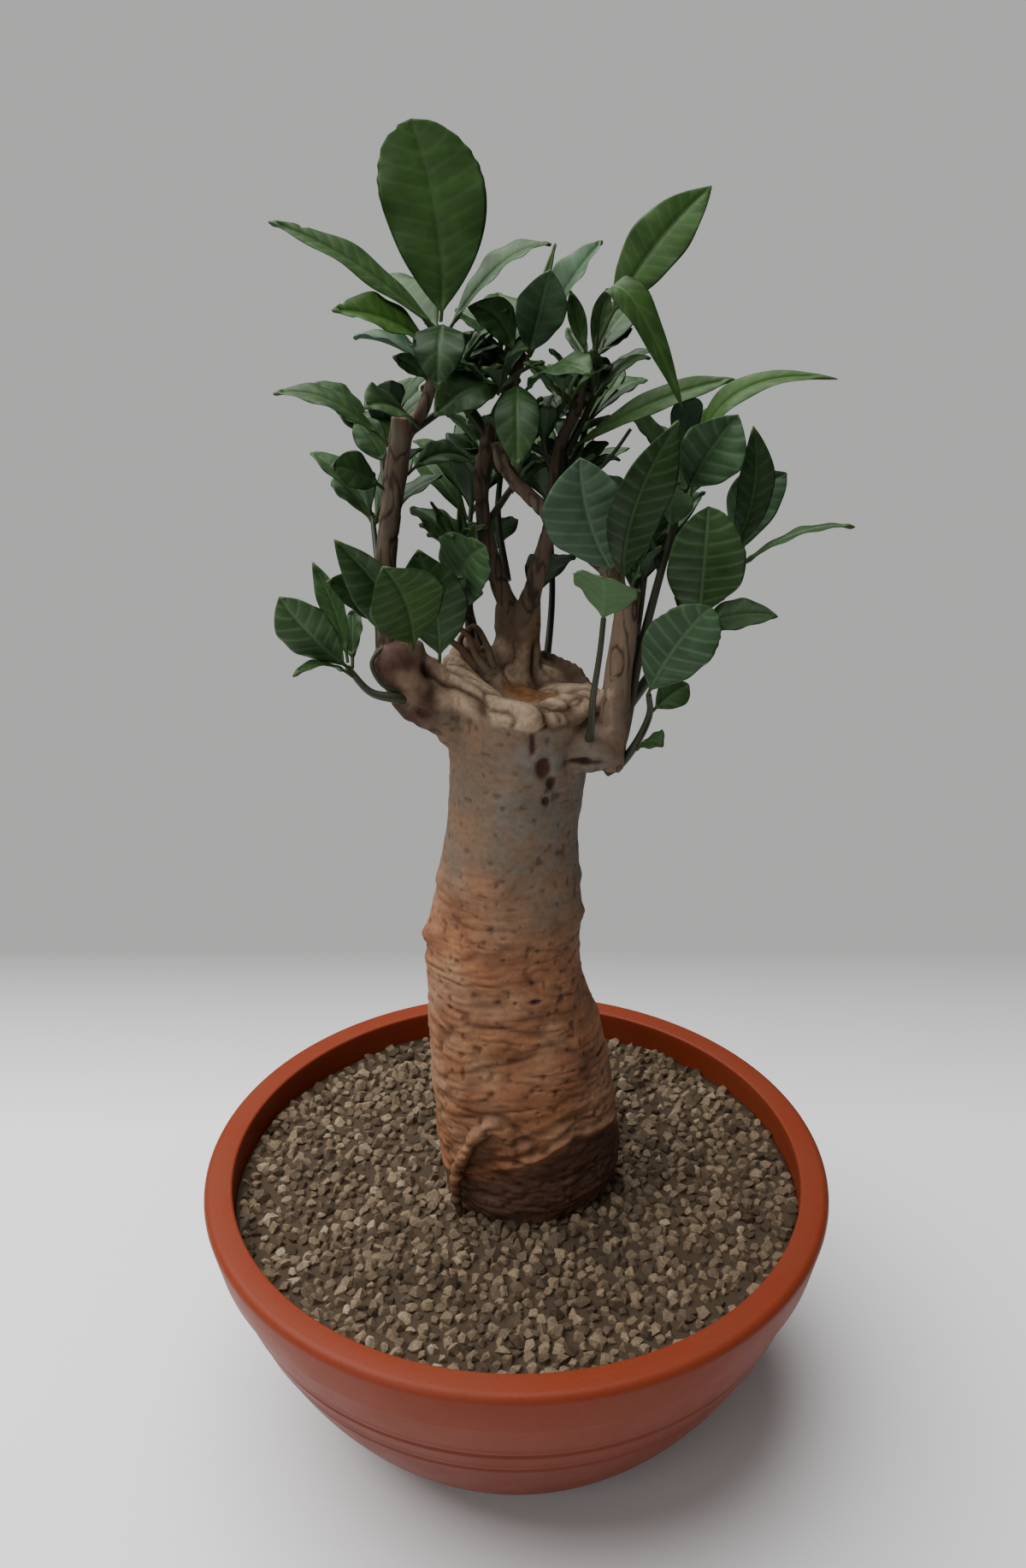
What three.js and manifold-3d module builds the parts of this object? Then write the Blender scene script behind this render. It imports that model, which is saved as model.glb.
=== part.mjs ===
// A potted caudex plant: a thick old trunk, cut off and sprouting again, set in gravel
// in a round planting bowl. Millimetres, +Z up. The origin is the centre of the bowl's
// foot, on the surface that it stands on, and -Y is the plant's front.
import * as THREE from 'three';
import Module from 'manifold-3d';
import { mergeVertices } from 'three/addons/utils/BufferGeometryUtils.js';

// ---- Driving dimensions ----------------------------------------------------------

const BOWL_RADIUS = 150;
const BOWL_HEIGHT = 130;
const MOUTH_RADIUS = 136.5;
const LIP_ROUNDING = 4;
const BAND_DEPTH = 24;
const BAND_STEP = 2.5;
const WALL = 6;
const FOOT_RADIUS = 80;
const FOOT_WIDTH = 16;
const FOOT_RISE = 3;
const FLOOR_TOP = 9;
const DRAIN_RADIUS = 10;
const GROOVE_HEIGHTS = [84, 70];
const GROOVE_DEPTH = 1.2;
const TURN_SEGMENTS = 56;

const GRAVEL_TOP = 117.5;
const GRAVEL_UNEVENNESS = 0.9;
const GAP = 0.3;

const TRUNK_SIDES = 28;
const CUT_HEIGHT = 374;
const CUT_SLOPE_X = -0.13;
const CUT_SLOPE_Y = 0.12;
const CALLUS_HEIGHT = 3;
const CUT_SINK = 6;

const LEAF_THICKNESS = 0.9;
const STALK_WIDTH = 1.5;
const STALK_SHARE = 0.12;
const TWIG_CLEARANCE = 3.2;

const COLOURS = {
  bowl: 0xa4573d,
  gravel: 0x5c4e40,
  trunk: 0x6c5444,
  limb: 0x5a4a3c,
  shoot: 0x3d4630,
  leaf: 0x2f4228,
};

// ---- Shape helpers ---------------------------------------------------------------

const wasm = await Module();
wasm.setup();

const vec = (p) => new THREE.Vector3(...p);

function signedVolume(points, triangles) {
  let sum = 0;
  for (let i = 0; i < triangles.length; i += 3) {
    const [a, b, c] = [0, 1, 2].map((k) => points[triangles[i + k]]);
    sum += a.dot(b.clone().cross(c)) / 6;
  }
  return sum;
}

// A closed skin over a row of rings with the same number of points, ended by two poles.
function loft(rings, startPole, endPole) {
  const sides = rings[0].length;
  const points = [...rings.flat(), startPole, endPole];
  const triangles = [];
  for (let side = 0; side < sides; side += 1) {
    const next = (side + 1) % sides;
    for (let ring = 0; ring < rings.length - 1; ring += 1) {
      const low = ring * sides;
      const high = low + sides;
      triangles.push(low + side, low + next, high + next);
      triangles.push(low + side, high + next, high + side);
    }
    const last = (rings.length - 1) * sides;
    triangles.push(points.length - 2, next, side);
    triangles.push(points.length - 1, last + side, last + next);
  }
  if (signedVolume(points, triangles) < 0) {
    triangles.reverse();
  }
  const geometry = new THREE.BufferGeometry().setFromPoints(points);
  geometry.setIndex(triangles);
  return geometry;
}

// A round stem through the given points, its radius going evenly through the given radii.
function stem(path, radii, sides = 8, stepsPerSpan = 2) {
  const curve = new THREE.CatmullRomCurve3(path.map(vec));
  const steps = (path.length - 1) * stepsPerSpan;
  const frames = curve.computeFrenetFrames(steps);
  const rings = [];
  for (let i = 0; i <= steps; i += 1) {
    const centre = curve.getPoint(i / steps);
    const place = (i / steps) * (radii.length - 1);
    const before = Math.min(Math.floor(place), radii.length - 2);
    const radius = THREE.MathUtils.lerp(radii[before], radii[before + 1], place - before);
    const ring = [];
    for (let side = 0; side < sides; side += 1) {
      const turn = (side / sides) * 2 * Math.PI;
      ring.push(centre.clone()
        .addScaledVector(frames.normals[i], radius * Math.cos(turn))
        .addScaledVector(frames.binormals[i], radius * Math.sin(turn)));
    }
    rings.push(ring);
  }
  return loft(rings, curve.getPoint(0), curve.getPoint(1));
}

function toSolid(geometry) {
  const bare = geometry.clone();
  bare.deleteAttribute('normal');
  bare.deleteAttribute('uv');
  const merged = mergeVertices(bare);
  return new wasm.Manifold(new wasm.Mesh({
    numProp: 3,
    vertProperties: merged.attributes.position.array,
    triVerts: new Uint32Array(merged.index.array),
  }));
}

function toGeometry(solid) {
  const mesh = solid.getMesh();
  const geometry = new THREE.BufferGeometry();
  geometry.setAttribute('position', new THREE.BufferAttribute(mesh.vertProperties, 3));
  geometry.setIndex(new THREE.BufferAttribute(mesh.triVerts, 1));
  return geometry;
}

const plant = new THREE.Group();

function addPiece(name, geometry, colour, roughness) {
  const material = new THREE.MeshStandardMaterial({ color: colour, roughness, metalness: 0 });
  const mesh = new THREE.Mesh(geometry, material);
  mesh.name = name;
  plant.add(mesh);
}

// ---- Bowl --------------------------------------------------------------------------

// The outer wall below the rim band is one soft curve from the band down to the foot.
const bowlSide = new THREE.QuadraticBezierCurve(
  new THREE.Vector2(BOWL_RADIUS - 6.5, BOWL_HEIGHT - BAND_DEPTH - 1),
  new THREE.Vector2(124, 37.5),
  new THREE.Vector2(FOOT_RADIUS + 4, 3),
);

// How far along that curve it passes a given height.
function sideShareAt(height) {
  let [low, high] = [0, 1];
  for (let i = 0; i < 30; i += 1) {
    const middle = (low + high) / 2;
    if (bowlSide.getPoint(middle).y > height) {
      low = middle;
    } else {
      high = middle;
    }
  }
  return low;
}

// The side with its turned grooves, from the band down to the foot.
function outerSide() {
  const shares = [0, 0.5, 0.62, 0.74, 0.87, 1];
  const points = shares.map((share) => bowlSide.getPoint(share));
  for (const height of GROOVE_HEIGHTS) {
    for (const [rise, depth] of [[1.6, 0], [0, GROOVE_DEPTH], [-1.6, 0]]) {
      const point = bowlSide.getPoint(sideShareAt(height + rise));
      points.push(new THREE.Vector2(point.x - depth, point.y));
    }
  }
  return points.sort((a, b) => b.y - a.y);
}

// The inner wall from the mouth down to the floor: upright behind the band, then curved.
function innerSide(clearance) {
  const points = [new THREE.Vector2(MOUTH_RADIUS - clearance, 104)];
  for (const share of [0.28, 0.5, 0.7, 0.86]) {
    const outer = bowlSide.getPoint(share);
    points.push(new THREE.Vector2(outer.x - WALL - clearance, outer.y + WALL / 2 + clearance / 2));
  }
  points.push(new THREE.Vector2(FOOT_RADIUS - clearance, FLOOR_TOP + clearance));
  return points;
}

function bowl() {
  const bandFoot = BOWL_HEIGHT - BAND_DEPTH;
  const profile = [
    new THREE.Vector2(DRAIN_RADIUS, FOOT_RISE),
    new THREE.Vector2(DRAIN_RADIUS, FLOOR_TOP),
    ...innerSide(0).reverse(),
    new THREE.Vector2(MOUTH_RADIUS, BOWL_HEIGHT - 1),
    new THREE.Vector2(MOUTH_RADIUS + 1, BOWL_HEIGHT),
    new THREE.Vector2(BOWL_RADIUS - LIP_ROUNDING, BOWL_HEIGHT),
    new THREE.Vector2(BOWL_RADIUS - LIP_ROUNDING * 0.3, BOWL_HEIGHT - LIP_ROUNDING * 0.3),
    new THREE.Vector2(BOWL_RADIUS, BOWL_HEIGHT - LIP_ROUNDING),
    new THREE.Vector2(BOWL_RADIUS - 6.5 + BAND_STEP, bandFoot + 1.5),
    ...outerSide(),
    new THREE.Vector2(FOOT_RADIUS, 0),
    new THREE.Vector2(FOOT_RADIUS - FOOT_WIDTH, 0),
    new THREE.Vector2(FOOT_RADIUS - FOOT_WIDTH - FOOT_RISE, FOOT_RISE),
  ];
  profile.push(profile[0].clone());
  profile.reverse();
  const turned = new THREE.LatheGeometry(profile, TURN_SEGMENTS);
  return turned.rotateX(Math.PI / 2);
}

// ---- Trunk -------------------------------------------------------------------------

// Height, centre x, centre y, half width and half depth, from the buried foot up.
const TRUNK_STATIONS = [
  [66, 2, 3, 14, 13],
  [74, 3, 2, 25, 23],
  [95, 4, 1, 34, 31],
  [118, 5, 0, 39, 36],
  [130, 6.4, 0, 42.2, 38.5],
  [155, 3.9, 0, 42.9, 39],
  [180, 1.9, 0, 42.3, 38],
  [208, -1, 0, 39.9, 36],
  [226, -4, 0, 36.6, 33.5],
  [244, -5.3, 0, 34.8, 32],
  [268, -3.5, 0, 33.3, 31],
  [302, -1.3, 0, 29.4, 28.5],
  [333, 0.8, 0, 29.4, 28],
  [350, 2, 0, 31.5, 29],
];

// The callus ring round the sunken cut face, as shares of the trunk's half width.
const CUT_RINGS = [
  [1.06, -8],
  [1.09, -2],
  [0.98, CALLUS_HEIGHT],
  [0.8, CALLUS_HEIGHT - 1],
  [0.66, -CUT_SINK * 0.7],
  [0.4, -CUT_SINK],
];

const ROOTS = [
  [[22, -8, 84], [44, -18, 74], [68, -30, 62]],
  [[-16, -14, 84], [-38, -30, 76], [-56, -48, 66]],
  [[-18, 12, 82], [-44, 26, 72], [-62, 40, 58]],
  [[16, 18, 82], [34, 42, 70], [42, 66, 60]],
];

// Shallow lengthwise swellings keep the trunk from being a plain oval.
function swelling(turn, height) {
  return 1 + 0.022 * Math.sin(3 * turn + height / 60) + 0.014 * Math.sin(5 * turn - height / 35);
}

function trunkRing([height, x, y, halfWidth, halfDepth], grow) {
  const ring = [];
  for (let side = 0; side < TRUNK_SIDES; side += 1) {
    const turn = (side / TRUNK_SIDES) * 2 * Math.PI;
    const swell = swelling(turn, height);
    ring.push(new THREE.Vector3(
      x + (halfWidth * swell + grow) * Math.cos(turn),
      y + (halfDepth * swell + grow) * Math.sin(turn),
      height,
    ));
  }
  return ring;
}

function cutRing([share, rise], grow) {
  const [height, x, y, halfWidth, halfDepth] = TRUNK_STATIONS.at(-1);
  const outward = share > 0.9 ? grow : -grow;
  const ring = trunkRing([height, x, y, halfWidth * share, halfDepth * share], outward);
  for (const point of ring) {
    point.z = CUT_HEIGHT + CUT_SLOPE_X * point.x + CUT_SLOPE_Y * point.y + rise + grow;
  }
  return ring;
}

// The caudex is one grown body: the trunk, the stubs of its old limbs and its roots.
function trunkSolid(grow = 0) {
  const rings = TRUNK_STATIONS.map((station) => trunkRing(station, grow));
  rings.push(...CUT_RINGS.map((ring) => cutRing(ring, grow)));
  const foot = new THREE.Vector3(2, 3, 62 - grow);
  const [, x, y] = TRUNK_STATIONS.at(-1);
  const face = new THREE.Vector3(x, y, CUT_HEIGHT - CUT_SINK + grow);
  let solid = toSolid(loft(rings, foot, face));
  const leftStub = [[-10, -3, 348], [-26, -5, 362], [-41, -7, 375], [-50, -8, 388]];
  const rightStub = [[14, -10, 352], [30, -13, 346], [42, -14, 341]];
  solid = solid.add(toSolid(stem(leftStub, [13 + grow, 13.5 + grow, 12.5 + grow, 9 + grow], 14)));
  solid = solid.add(toSolid(stem(rightStub, [12 + grow, 11 + grow, 6 + grow], 12)));
  for (const root of ROOTS) {
    solid = solid.add(toSolid(stem(root, [9 + grow, 6 + grow, 2.5 + grow], 7)));
  }
  return solid;
}

const trunk = trunkSolid();
const trunkWithGap = trunkSolid(GAP);

// ---- Gravel ------------------------------------------------------------------------

// The bed fills the bowl round the trunk and bridges over the drain hole.
function gravel() {
  const wall = innerSide(GAP + 0.1);
  const bridge = [
    new THREE.Vector2(DRAIN_RADIUS + 4, FLOOR_TOP + GAP),
    new THREE.Vector2(DRAIN_RADIUS + 1, FLOOR_TOP + 4),
    new THREE.Vector2(0, FLOOR_TOP + 5),
  ];
  const surface = [136.1, 118, 98, 76, 54, 30, 0].map((radius, ring) => {
    const dip = ring % 2 ? GRAVEL_UNEVENNESS : 0;
    return new THREE.Vector2(radius, GRAVEL_TOP - dip);
  });
  const profile = [...bridge.reverse(), ...wall.reverse(), ...surface];
  const bed = new THREE.LatheGeometry(profile, TURN_SEGMENTS).rotateX(Math.PI / 2);
  return toGeometry(toSolid(bed).subtract(trunkWithGap));
}

// ---- Limbs and shoots --------------------------------------------------------------

// Each limb or shoot is one grown piece of one or more stems: path and radii for each.
const LIMBS = {
  left_limb: [
    [[[-52, -8, 392], [-53, -8, 410], [-52, -8, 432], [-48, -7, 458], [-44, -6, 482]], [6.4, 5.6, 5.4, 5.6]],
    [[[-45, -6, 474], [-37, -5, 484], [-32, -3, 498], [-28, -4, 514]], [3.6, 2.8, 2]],
  ],
  centre_limb: [
    [[[-2, 22, 374], [-1, 18, 392], [-7, 15, 410], [-13, 12, 434], [-15, 9, 460]], [7, 5.4, 4.4, 3.8]],
    [[[-15, 9, 456], [-11, 7, 476], [-3, 5, 492], [3, 4, 505]], [3.8, 2.4, 1.9]],
    [[[0, 19, 384], [7, 12, 410], [14, 8, 440], [17, 6, 468], [24, 5, 486], [28, 4, 502]], [5.4, 4.2, 3.4, 2]],
  ],
  right_limb: [
    [[[39, -14, 350], [41, -13, 370], [43, -12, 394], [45, -11, 416]], [5.6, 5, 4.8]],
    [[[44, -11, 406], [36, -12, 424], [16, -9, 442], [-3, -4, 460], [-8, -3, 472]], [3.8, 3.6, 3.2, 2.4]],
  ],
};

const SHOOTS = {
  back_shoot: [[[[-19, 14, 372], [-20, 16, 392], [-21, 18, 420]], [2.8, 2.3, 1.8]]],
  right_shoot: [[[[45, -6, 350], [50, -7, 384], [56, -8, 414], [62, -11, 442], [65, -12, 456]], [2.4, 2, 1.4]]],
  outer_shoot: [[[[40, 2, 350], [56, -1, 376], [70, -6, 398], [80, -6, 414], [87, -4, 426]], [2.4, 1.9, 1.4]]],
  front_shoot: [[[[30, -26, 362], [30, -36, 378], [32, -40, 398], [33, -41, 412]], [2.2, 1.5, 1.3]]],
  lower_shoot: [[[[44, -12, 341], [50, -16, 352], [54, -22, 366], [53, -26, 376]], [2, 1.5, 1.2]]],
  left_shoot: [[[[-50, -18, 372], [-60, -19, 375], [-69, -17, 385]], [2.2, 1.6, 1.2]]],
};

function grownPiece(stems, sides) {
  const parts = stems.map(([path, radii]) => toSolid(stem(path, radii, sides)));
  const joined = parts.reduce((whole, part) => whole.add(part));
  return toGeometry(joined.subtract(trunkWithGap));
}

// ---- Leaves ------------------------------------------------------------------------

// Name, place on the twig, tip, width, the way the upper face looks, how far the middle
// bows away from the straight line, fold in degrees, and where the blade is widest.
const LEAVES = [
  // Left top whorl
  ['leaf_tall', [-28, -5, 517], [-38, -6, 586], 39, [0, -1, 0.1], [4, -1, 0], 6, 0.66],
  ['leaf_top_left', [-29, -7, 514], [-89, -20, 552], 23, [0.3, -1, 0.9], [-1, 0, 4], 22, 0.48],
  ['leaf_top_right', [-27, 0, 514], [13, 10, 544], 22, [-0.5, -0.7, 1], [0, -2, 6], 25, 0.6],
  ['leaf_bright', [-31, -8, 508], [-66, -34, 523], 24, [0.2, -1, 0.8], [2, -2, 3], 20, 0.5],
  ['leaf_grey_edge', [-33, 2, 500], [-64, 12, 510], 16, [0.2, -0.2, 1], [0, 0, 3], 30, 0.5],
  ['leaf_dark_hanging', [-28, -7, 516], [-29, -33, 489], 24, [0, -1, 0.5], [0, -5, 5], 10, 0.5],
  // Middle whorl
  ['leaf_spoon', [4, 0, 503], [12, -18, 536], 24, [0, -1, -0.4], [0, 3, 0], 25, 0.62],
  ['leaf_middle_left', [1, 6, 503], [-19, 3, 522], 15, [-0.2, -1, 0.6], [2, 0, 5], 20, 0.5],
  ['leaf_blue_right', [5, 8, 504], [33, 20, 545], 20, [-0.6, -0.6, 1], [0, 0, 3], 30, 0.55],
  // Right top whorl
  ['leaf_right_tall', [29, 5, 505], [71, -2, 564], 27, [-0.3, -1, 0.2], [-3, -1, 3], 15, 0.52],
  ['leaf_right_drooping', [28, 1, 505], [62, -22, 487], 17, [0.6, -1, 0.6], [-4, 0, 27], 12, 0.55],
  ['leaf_narrow_left', [27, 3, 503], [20, 2, 528], 8, [0, -1, 0], [0, 1, 0], 30, 0.55],
  ['leaf_narrow_right', [29, 8, 503], [35, 16, 528], 9, [0, -1, 0], [0, 1, 0], 30, 0.55],
  // Dark middle
  ['leaf_inner_left', [-2, 8, 492], [-24, 30, 505], 18, [0, -0.6, 1], [0, 0, 4], 15, 0.55],
  ['leaf_inner_arch', [2, -1, 492], [27, -28, 500], 24, [0.2, -0.6, 1], [0, -2, 6], 10, 0.55],
  ['leaf_inner_hanging', [0, -2, 496], [0, -28, 466], 18, [0, -1, 0.6], [0, -4, 5], 10, 0.55],
  ['leaf_inner_low_left', [-5, 2, 494], [-31, -24, 485], 20, [0, -1, 0.8], [0, -3, 4], 15, 0.55],
  ['leaf_inner_back', [20, 9, 478], [30, 40, 484], 24, [0, 0.3, 1], [0, 0, 5], 15, 0.55],
  // Left limb
  ['leaf_limb_left', [-50, -9, 474], [-92, -16, 492], 18, [0.2, -1, 0.7], [0, 0, 3], 15, 0.48],
  ['leaf_limb_dark', [-38, -8, 480], [-56, -32, 489], 22, [-0.2, -1, 1], [0, -2, 4], 15, 0.5],
  ['leaf_limb_small', [-50, -3, 462], [-64, 10, 479], 14, [-0.4, -1, 0.6], [0, 0, 2], 20, 0.5],
  ['leaf_limb_half', [-52, -9, 456], [-71, -22, 466], 16, [0, -1, 0.7], [0, -1, 2], 15, 0.5],
  ['leaf_limb_inner', [-43, -3, 462], [-17, 20, 460], 16, [0, -0.7, 1], [0, 0, 5], 15, 0.6],
  // Left stub
  ['leaf_stub_tall', [-43, -17, 396], [-68, -44, 443], 24, [-0.2, -1, 0.4], [3, -4, 2], 30, 0.45],
  ['leaf_stub_front', [-41, -20, 394], [-49, -58, 436], 32, [0.1, -1, 0.4], [3, -4, 4], 20, 0.55],
  ['leaf_stub_side', [-54, -12, 400], [-73, -36, 425], 15, [0, -1, 0.8], [0, 0, 4], 20, 0.5],
  ['leaf_veined_left', [-68, -18, 384], [-92, -32, 418], 22, [-0.3, -1, 0.3], [-1, -2, 0], 10, 0.6],
  ['leaf_upright_left', [-68, -15, 386], [-83, 0, 424], 12, [-0.2, -1, 0.2], [2, 0, 0], 30, 0.55],
  ['leaf_edge_left', [-67, -19, 384], [-88, -36, 387], 10, [0, 0, 1], [0, 0, 4], 10, 0.5],
  ['leaf_twig_inner', [-67, -14, 384], [-68, 4, 403], 12, [-0.4, -1, 0.2], [0, 0, 1], 20, 0.55],
  // Left of the cut
  ['leaf_crenate', [-22, 12, 402], [-12, -24, 436], 30, [0, -1, 0.7], [-5, -1, 3], 15, 0.62],
  ['leaf_deep_green', [-31, -12, 386], [-38, -30, 436], 28, [-0.1, -1, 0.3], [2, 0, 2], 15, 0.5],
  // Front shoot
  ['leaf_front_bright', [33, -41, 411], [31, -66, 434], 26, [0, -0.8, 1], [0, -2, 3], 10, 0.62],
  // Right side
  ['leaf_broad_veined', [38, -16, 422], [23, -38, 472], 36, [-0.2, -1, 0.1], [-3, -1, 0], 15, 0.55],
  ['leaf_broad_dark', [41, -18, 420], [58, -42, 486], 25, [0.4, -1, 0.2], [-6, -10, 1], 20, 0.55],
  ['leaf_folded_blue', [65, -12, 454], [83, -20, 485], 29, [0.1, -1, 0.2], [-1, -2, 1], 30, 0.55],
  ['leaf_long_bright', [66, -8, 455], [121, -12, 497], 20, [-0.3, -0.9, 1], [-6, 3, 10], 20, 0.6],
  ['leaf_long_arch', [21, 8, 468], [85, 6, 495], 13, [-0.2, -0.8, 1], [0, 0, 4], 15, 0.6],
  ['leaf_small_bright', [61, -13, 440], [56, -33, 461], 20, [0, -0.5, 1], [0, -1, 2], 10, 0.62],
  ['leaf_dark_veined', [46, -5, 414], [63, 12, 447], 20, [-0.3, -1, 0.3], [0, 2, 1], 20, 0.55],
  ['leaf_large_folded', [74, -8, 402], [72, -32, 453], 34, [0, -1, 0.2], [0, -2, 0], 25, 0.55],
  ['leaf_outer_dark', [86, -5, 426], [90, -14, 480], 16, [0.2, -1, 0.1], [4, -2, 0], 20, 0.55],
  ['leaf_outer_blue', [87, -3, 426], [111, 22, 456], 24, [0.3, -1, 0.4], [-5, 3, 3], 20, 0.55],
  ['leaf_outer_arch', [88, -4, 423], [134, -8, 440], 14, [0, 0, 1], [0, 0, 5], 10, 0.5],
  // Right foot of the crown
  ['leaf_low_veined', [52, -26, 376], [73, -46, 418], 28, [0.1, -1, 0.4], [-2, -3, 2], 15, 0.6],
  ['leaf_low_dark', [54, -22, 367], [71, -10, 375], 14, [0, -1, 0.6], [0, 0, 1], 15, 0.55],
  ['leaf_low_pointed', [71, -5, 397], [105, -14, 405], 16, [0, -0.8, 1], [0, 0, 3], 15, 0.45],
  ['leaf_low_small', [50, -17, 351], [59, -31, 356], 12, [0, -0.8, 1], [0, 0, 2], 15, 0.6],
];

const LEAF_STATIONS = [0.03, STALK_SHARE, 0.24, 0.4, 0.58, 0.75, 0.88, 0.97];

// Half width of the blade along its length: a thin stalk, then an oval. The nearer the
// widest place is to the tip, the blunter the oval.
function halfWidthAt(share, width, widest) {
  const blade = Math.max((share - STALK_SHARE) / (1 - STALK_SHARE), 0);
  const shifted = blade ** (Math.log(0.5) / Math.log(widest));
  const oval = Math.sin(Math.PI * shifted) ** (1.9 - 2 * widest);
  return Math.max(oval * width, STALK_WIDTH) / 2;
}

function leaf([, place, end, width, face, bow, fold, widest]) {
  const tip = vec(end);
  const root = vec(place);
  root.lerp(tip, TWIG_CLEARANCE / root.distanceTo(tip));
  const along = tip.clone().sub(root);
  const forward = along.clone().normalize();
  const across = forward.clone().cross(vec(face)).normalize();
  const up = across.clone().cross(forward);
  const lift = Math.sin(THREE.MathUtils.degToRad(fold));
  const spread = Math.cos(THREE.MathUtils.degToRad(fold));
  const rings = LEAF_STATIONS.map((share) => {
    const half = halfWidthAt(share, width, widest);
    const spine = root.clone()
      .addScaledVector(along, share)
      .addScaledVector(vec(bow), 4 * share * (1 - share));
    const corner = (side, level) => spine.clone()
      .addScaledVector(across, side * half * spread)
      .addScaledVector(up, Math.abs(side) * half * lift + level * LEAF_THICKNESS / 2);
    return [corner(-1, 1), corner(0, 1), corner(1, 1), corner(1, -1), corner(0, -1), corner(-1, -1)];
  });
  return loft(rings, root, tip);
}

// ---- Assembly ----------------------------------------------------------------------

addPiece('bowl', bowl(), COLOURS.bowl, 0.5);
addPiece('gravel', gravel(), COLOURS.gravel, 0.95);
addPiece('trunk', toGeometry(trunk), COLOURS.trunk, 0.85);
for (const [name, stems] of Object.entries(LIMBS)) {
  addPiece(name, grownPiece(stems, 10), COLOURS.limb, 0.85);
}
for (const [name, stems] of Object.entries(SHOOTS)) {
  addPiece(name, grownPiece(stems, 6), COLOURS.shoot, 0.7);
}
for (const row of LEAVES) {
  addPiece(row[0], leaf(row), COLOURS.leaf, 0.45);
}

export default plant;
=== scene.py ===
"""The finished look of a potted caudex plant: an old cut-back trunk that has sprouted limbs
and glossy leaves, set in grit in a round planting bowl. Lengths in the tables are in
millimetres, in the frame's own axes, and become metres as each mesh is made."""

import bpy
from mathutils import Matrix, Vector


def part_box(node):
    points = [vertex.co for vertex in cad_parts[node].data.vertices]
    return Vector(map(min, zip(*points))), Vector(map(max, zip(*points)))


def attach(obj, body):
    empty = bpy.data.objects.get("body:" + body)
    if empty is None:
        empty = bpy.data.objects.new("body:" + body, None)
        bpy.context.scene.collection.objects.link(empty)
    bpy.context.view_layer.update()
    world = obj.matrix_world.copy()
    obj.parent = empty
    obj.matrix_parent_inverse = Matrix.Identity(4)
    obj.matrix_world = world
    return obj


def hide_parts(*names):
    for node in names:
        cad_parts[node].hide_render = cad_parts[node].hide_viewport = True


bl_info = {
    "name": "Potted Baobab",
    "version": (1, 0, 0),
    "blender": (4, 5, 0),
    "location": "View3D > Sidebar > Plant",
    "description": "Makes the finish of a potted caudex plant round its packed frame",
    "category": "Add Mesh",
}

import math

import bmesh
import bpy
import numpy as np
from bpy.props import FloatProperty, FloatVectorProperty, IntProperty, PointerProperty
from mathutils import Vector

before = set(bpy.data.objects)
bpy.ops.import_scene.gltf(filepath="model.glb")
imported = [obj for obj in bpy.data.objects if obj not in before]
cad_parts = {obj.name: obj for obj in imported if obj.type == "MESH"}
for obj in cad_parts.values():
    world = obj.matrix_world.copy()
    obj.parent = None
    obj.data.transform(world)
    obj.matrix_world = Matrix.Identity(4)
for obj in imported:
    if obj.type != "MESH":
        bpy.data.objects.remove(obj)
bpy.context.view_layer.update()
MM = 0.001
BODY = "root"

BOWL_LOW, BOWL_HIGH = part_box("bowl")
BOWL_RADIUS = BOWL_HIGH.x / MM
BOWL_HEIGHT = BOWL_HIGH.z / MM
GRAVEL_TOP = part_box("gravel")[1].z / MM


# ---- Colours, nodes and materials ------------------------------------------------------


def linear(code):
    """The linear colour of an sRGB hex value."""
    channels = [int(code[i:i + 2], 16) / 255 for i in (0, 2, 4)]
    return tuple(c / 12.92 if c <= 0.04045 else ((c + 0.055) / 1.055) ** 2.4 for c in channels)


def paint(code):
    """The same with full alpha, for a node's colour socket."""
    return (*linear(code), 1.0)


def add(tree, kind, links=None, **settings):
    """Adds a node. links maps an input's name or number to a value or an output to join."""
    node = tree.nodes.new(kind)
    for name, value in settings.items():
        setattr(node, name, value)
    for name, value in (links or {}).items():
        socket = node.inputs[name]
        if isinstance(value, bpy.types.NodeSocket):
            tree.links.new(value, socket)
        else:
            socket.default_value = value
    return node


def ramp(tree, value, stops):
    """A colour ramp through (place, hex colour) stops."""
    node = add(tree, "ShaderNodeValToRGB", {0: value})
    elements = node.color_ramp.elements
    while len(elements) < len(stops):
        elements.new(0.5)
    for element, (place, code) in zip(elements, stops):
        element.position = place
        element.color = paint(code)
    return node.outputs[0]


def blend(tree, factor, first, second, mode="MIX"):
    """One colour mixed over another."""
    node = add(tree, "ShaderNodeMix", data_type="RGBA", blend_type=mode)
    for place, value in ((0, factor), (6, first), (7, second)):
        if isinstance(value, bpy.types.NodeSocket):
            tree.links.new(value, node.inputs[place])
        else:
            node.inputs[place].default_value = value
    return node.outputs[2]


def math_of(tree, operation, first, second=0.0):
    """One Math node's output."""
    return add(tree, "ShaderNodeMath", {0: first, 1: second}, operation=operation).outputs[0]


def span(tree, value, low, high, new_low=0.0, new_high=1.0):
    """Maps a value's range to another and clamps it."""
    places = {"Value": value, "From Min": low, "From Max": high, "To Min": new_low, "To Max": new_high}
    return add(tree, "ShaderNodeMapRange", places).outputs[0]


def speckle(tree, size_mm, detail=3.0, stretch=(1, 1, 1), rough=0.55):
    """Noise on Object coordinates whose blotches are about size_mm across."""
    place = add(tree, "ShaderNodeTexCoord").outputs["Object"]
    scaled = add(tree, "ShaderNodeMapping", {"Vector": place, "Scale": stretch})
    links = {
        "Vector": scaled.outputs[0],
        "Scale": 1 / (size_mm * MM),
        "Detail": detail,
        "Roughness": rough,
    }
    return add(tree, "ShaderNodeTexNoise", links).outputs[0]


def from_mesh(tree, name):
    """A mesh attribute as a value."""
    return add(tree, "ShaderNodeAttribute", attribute_name=name).outputs["Fac"]


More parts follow.
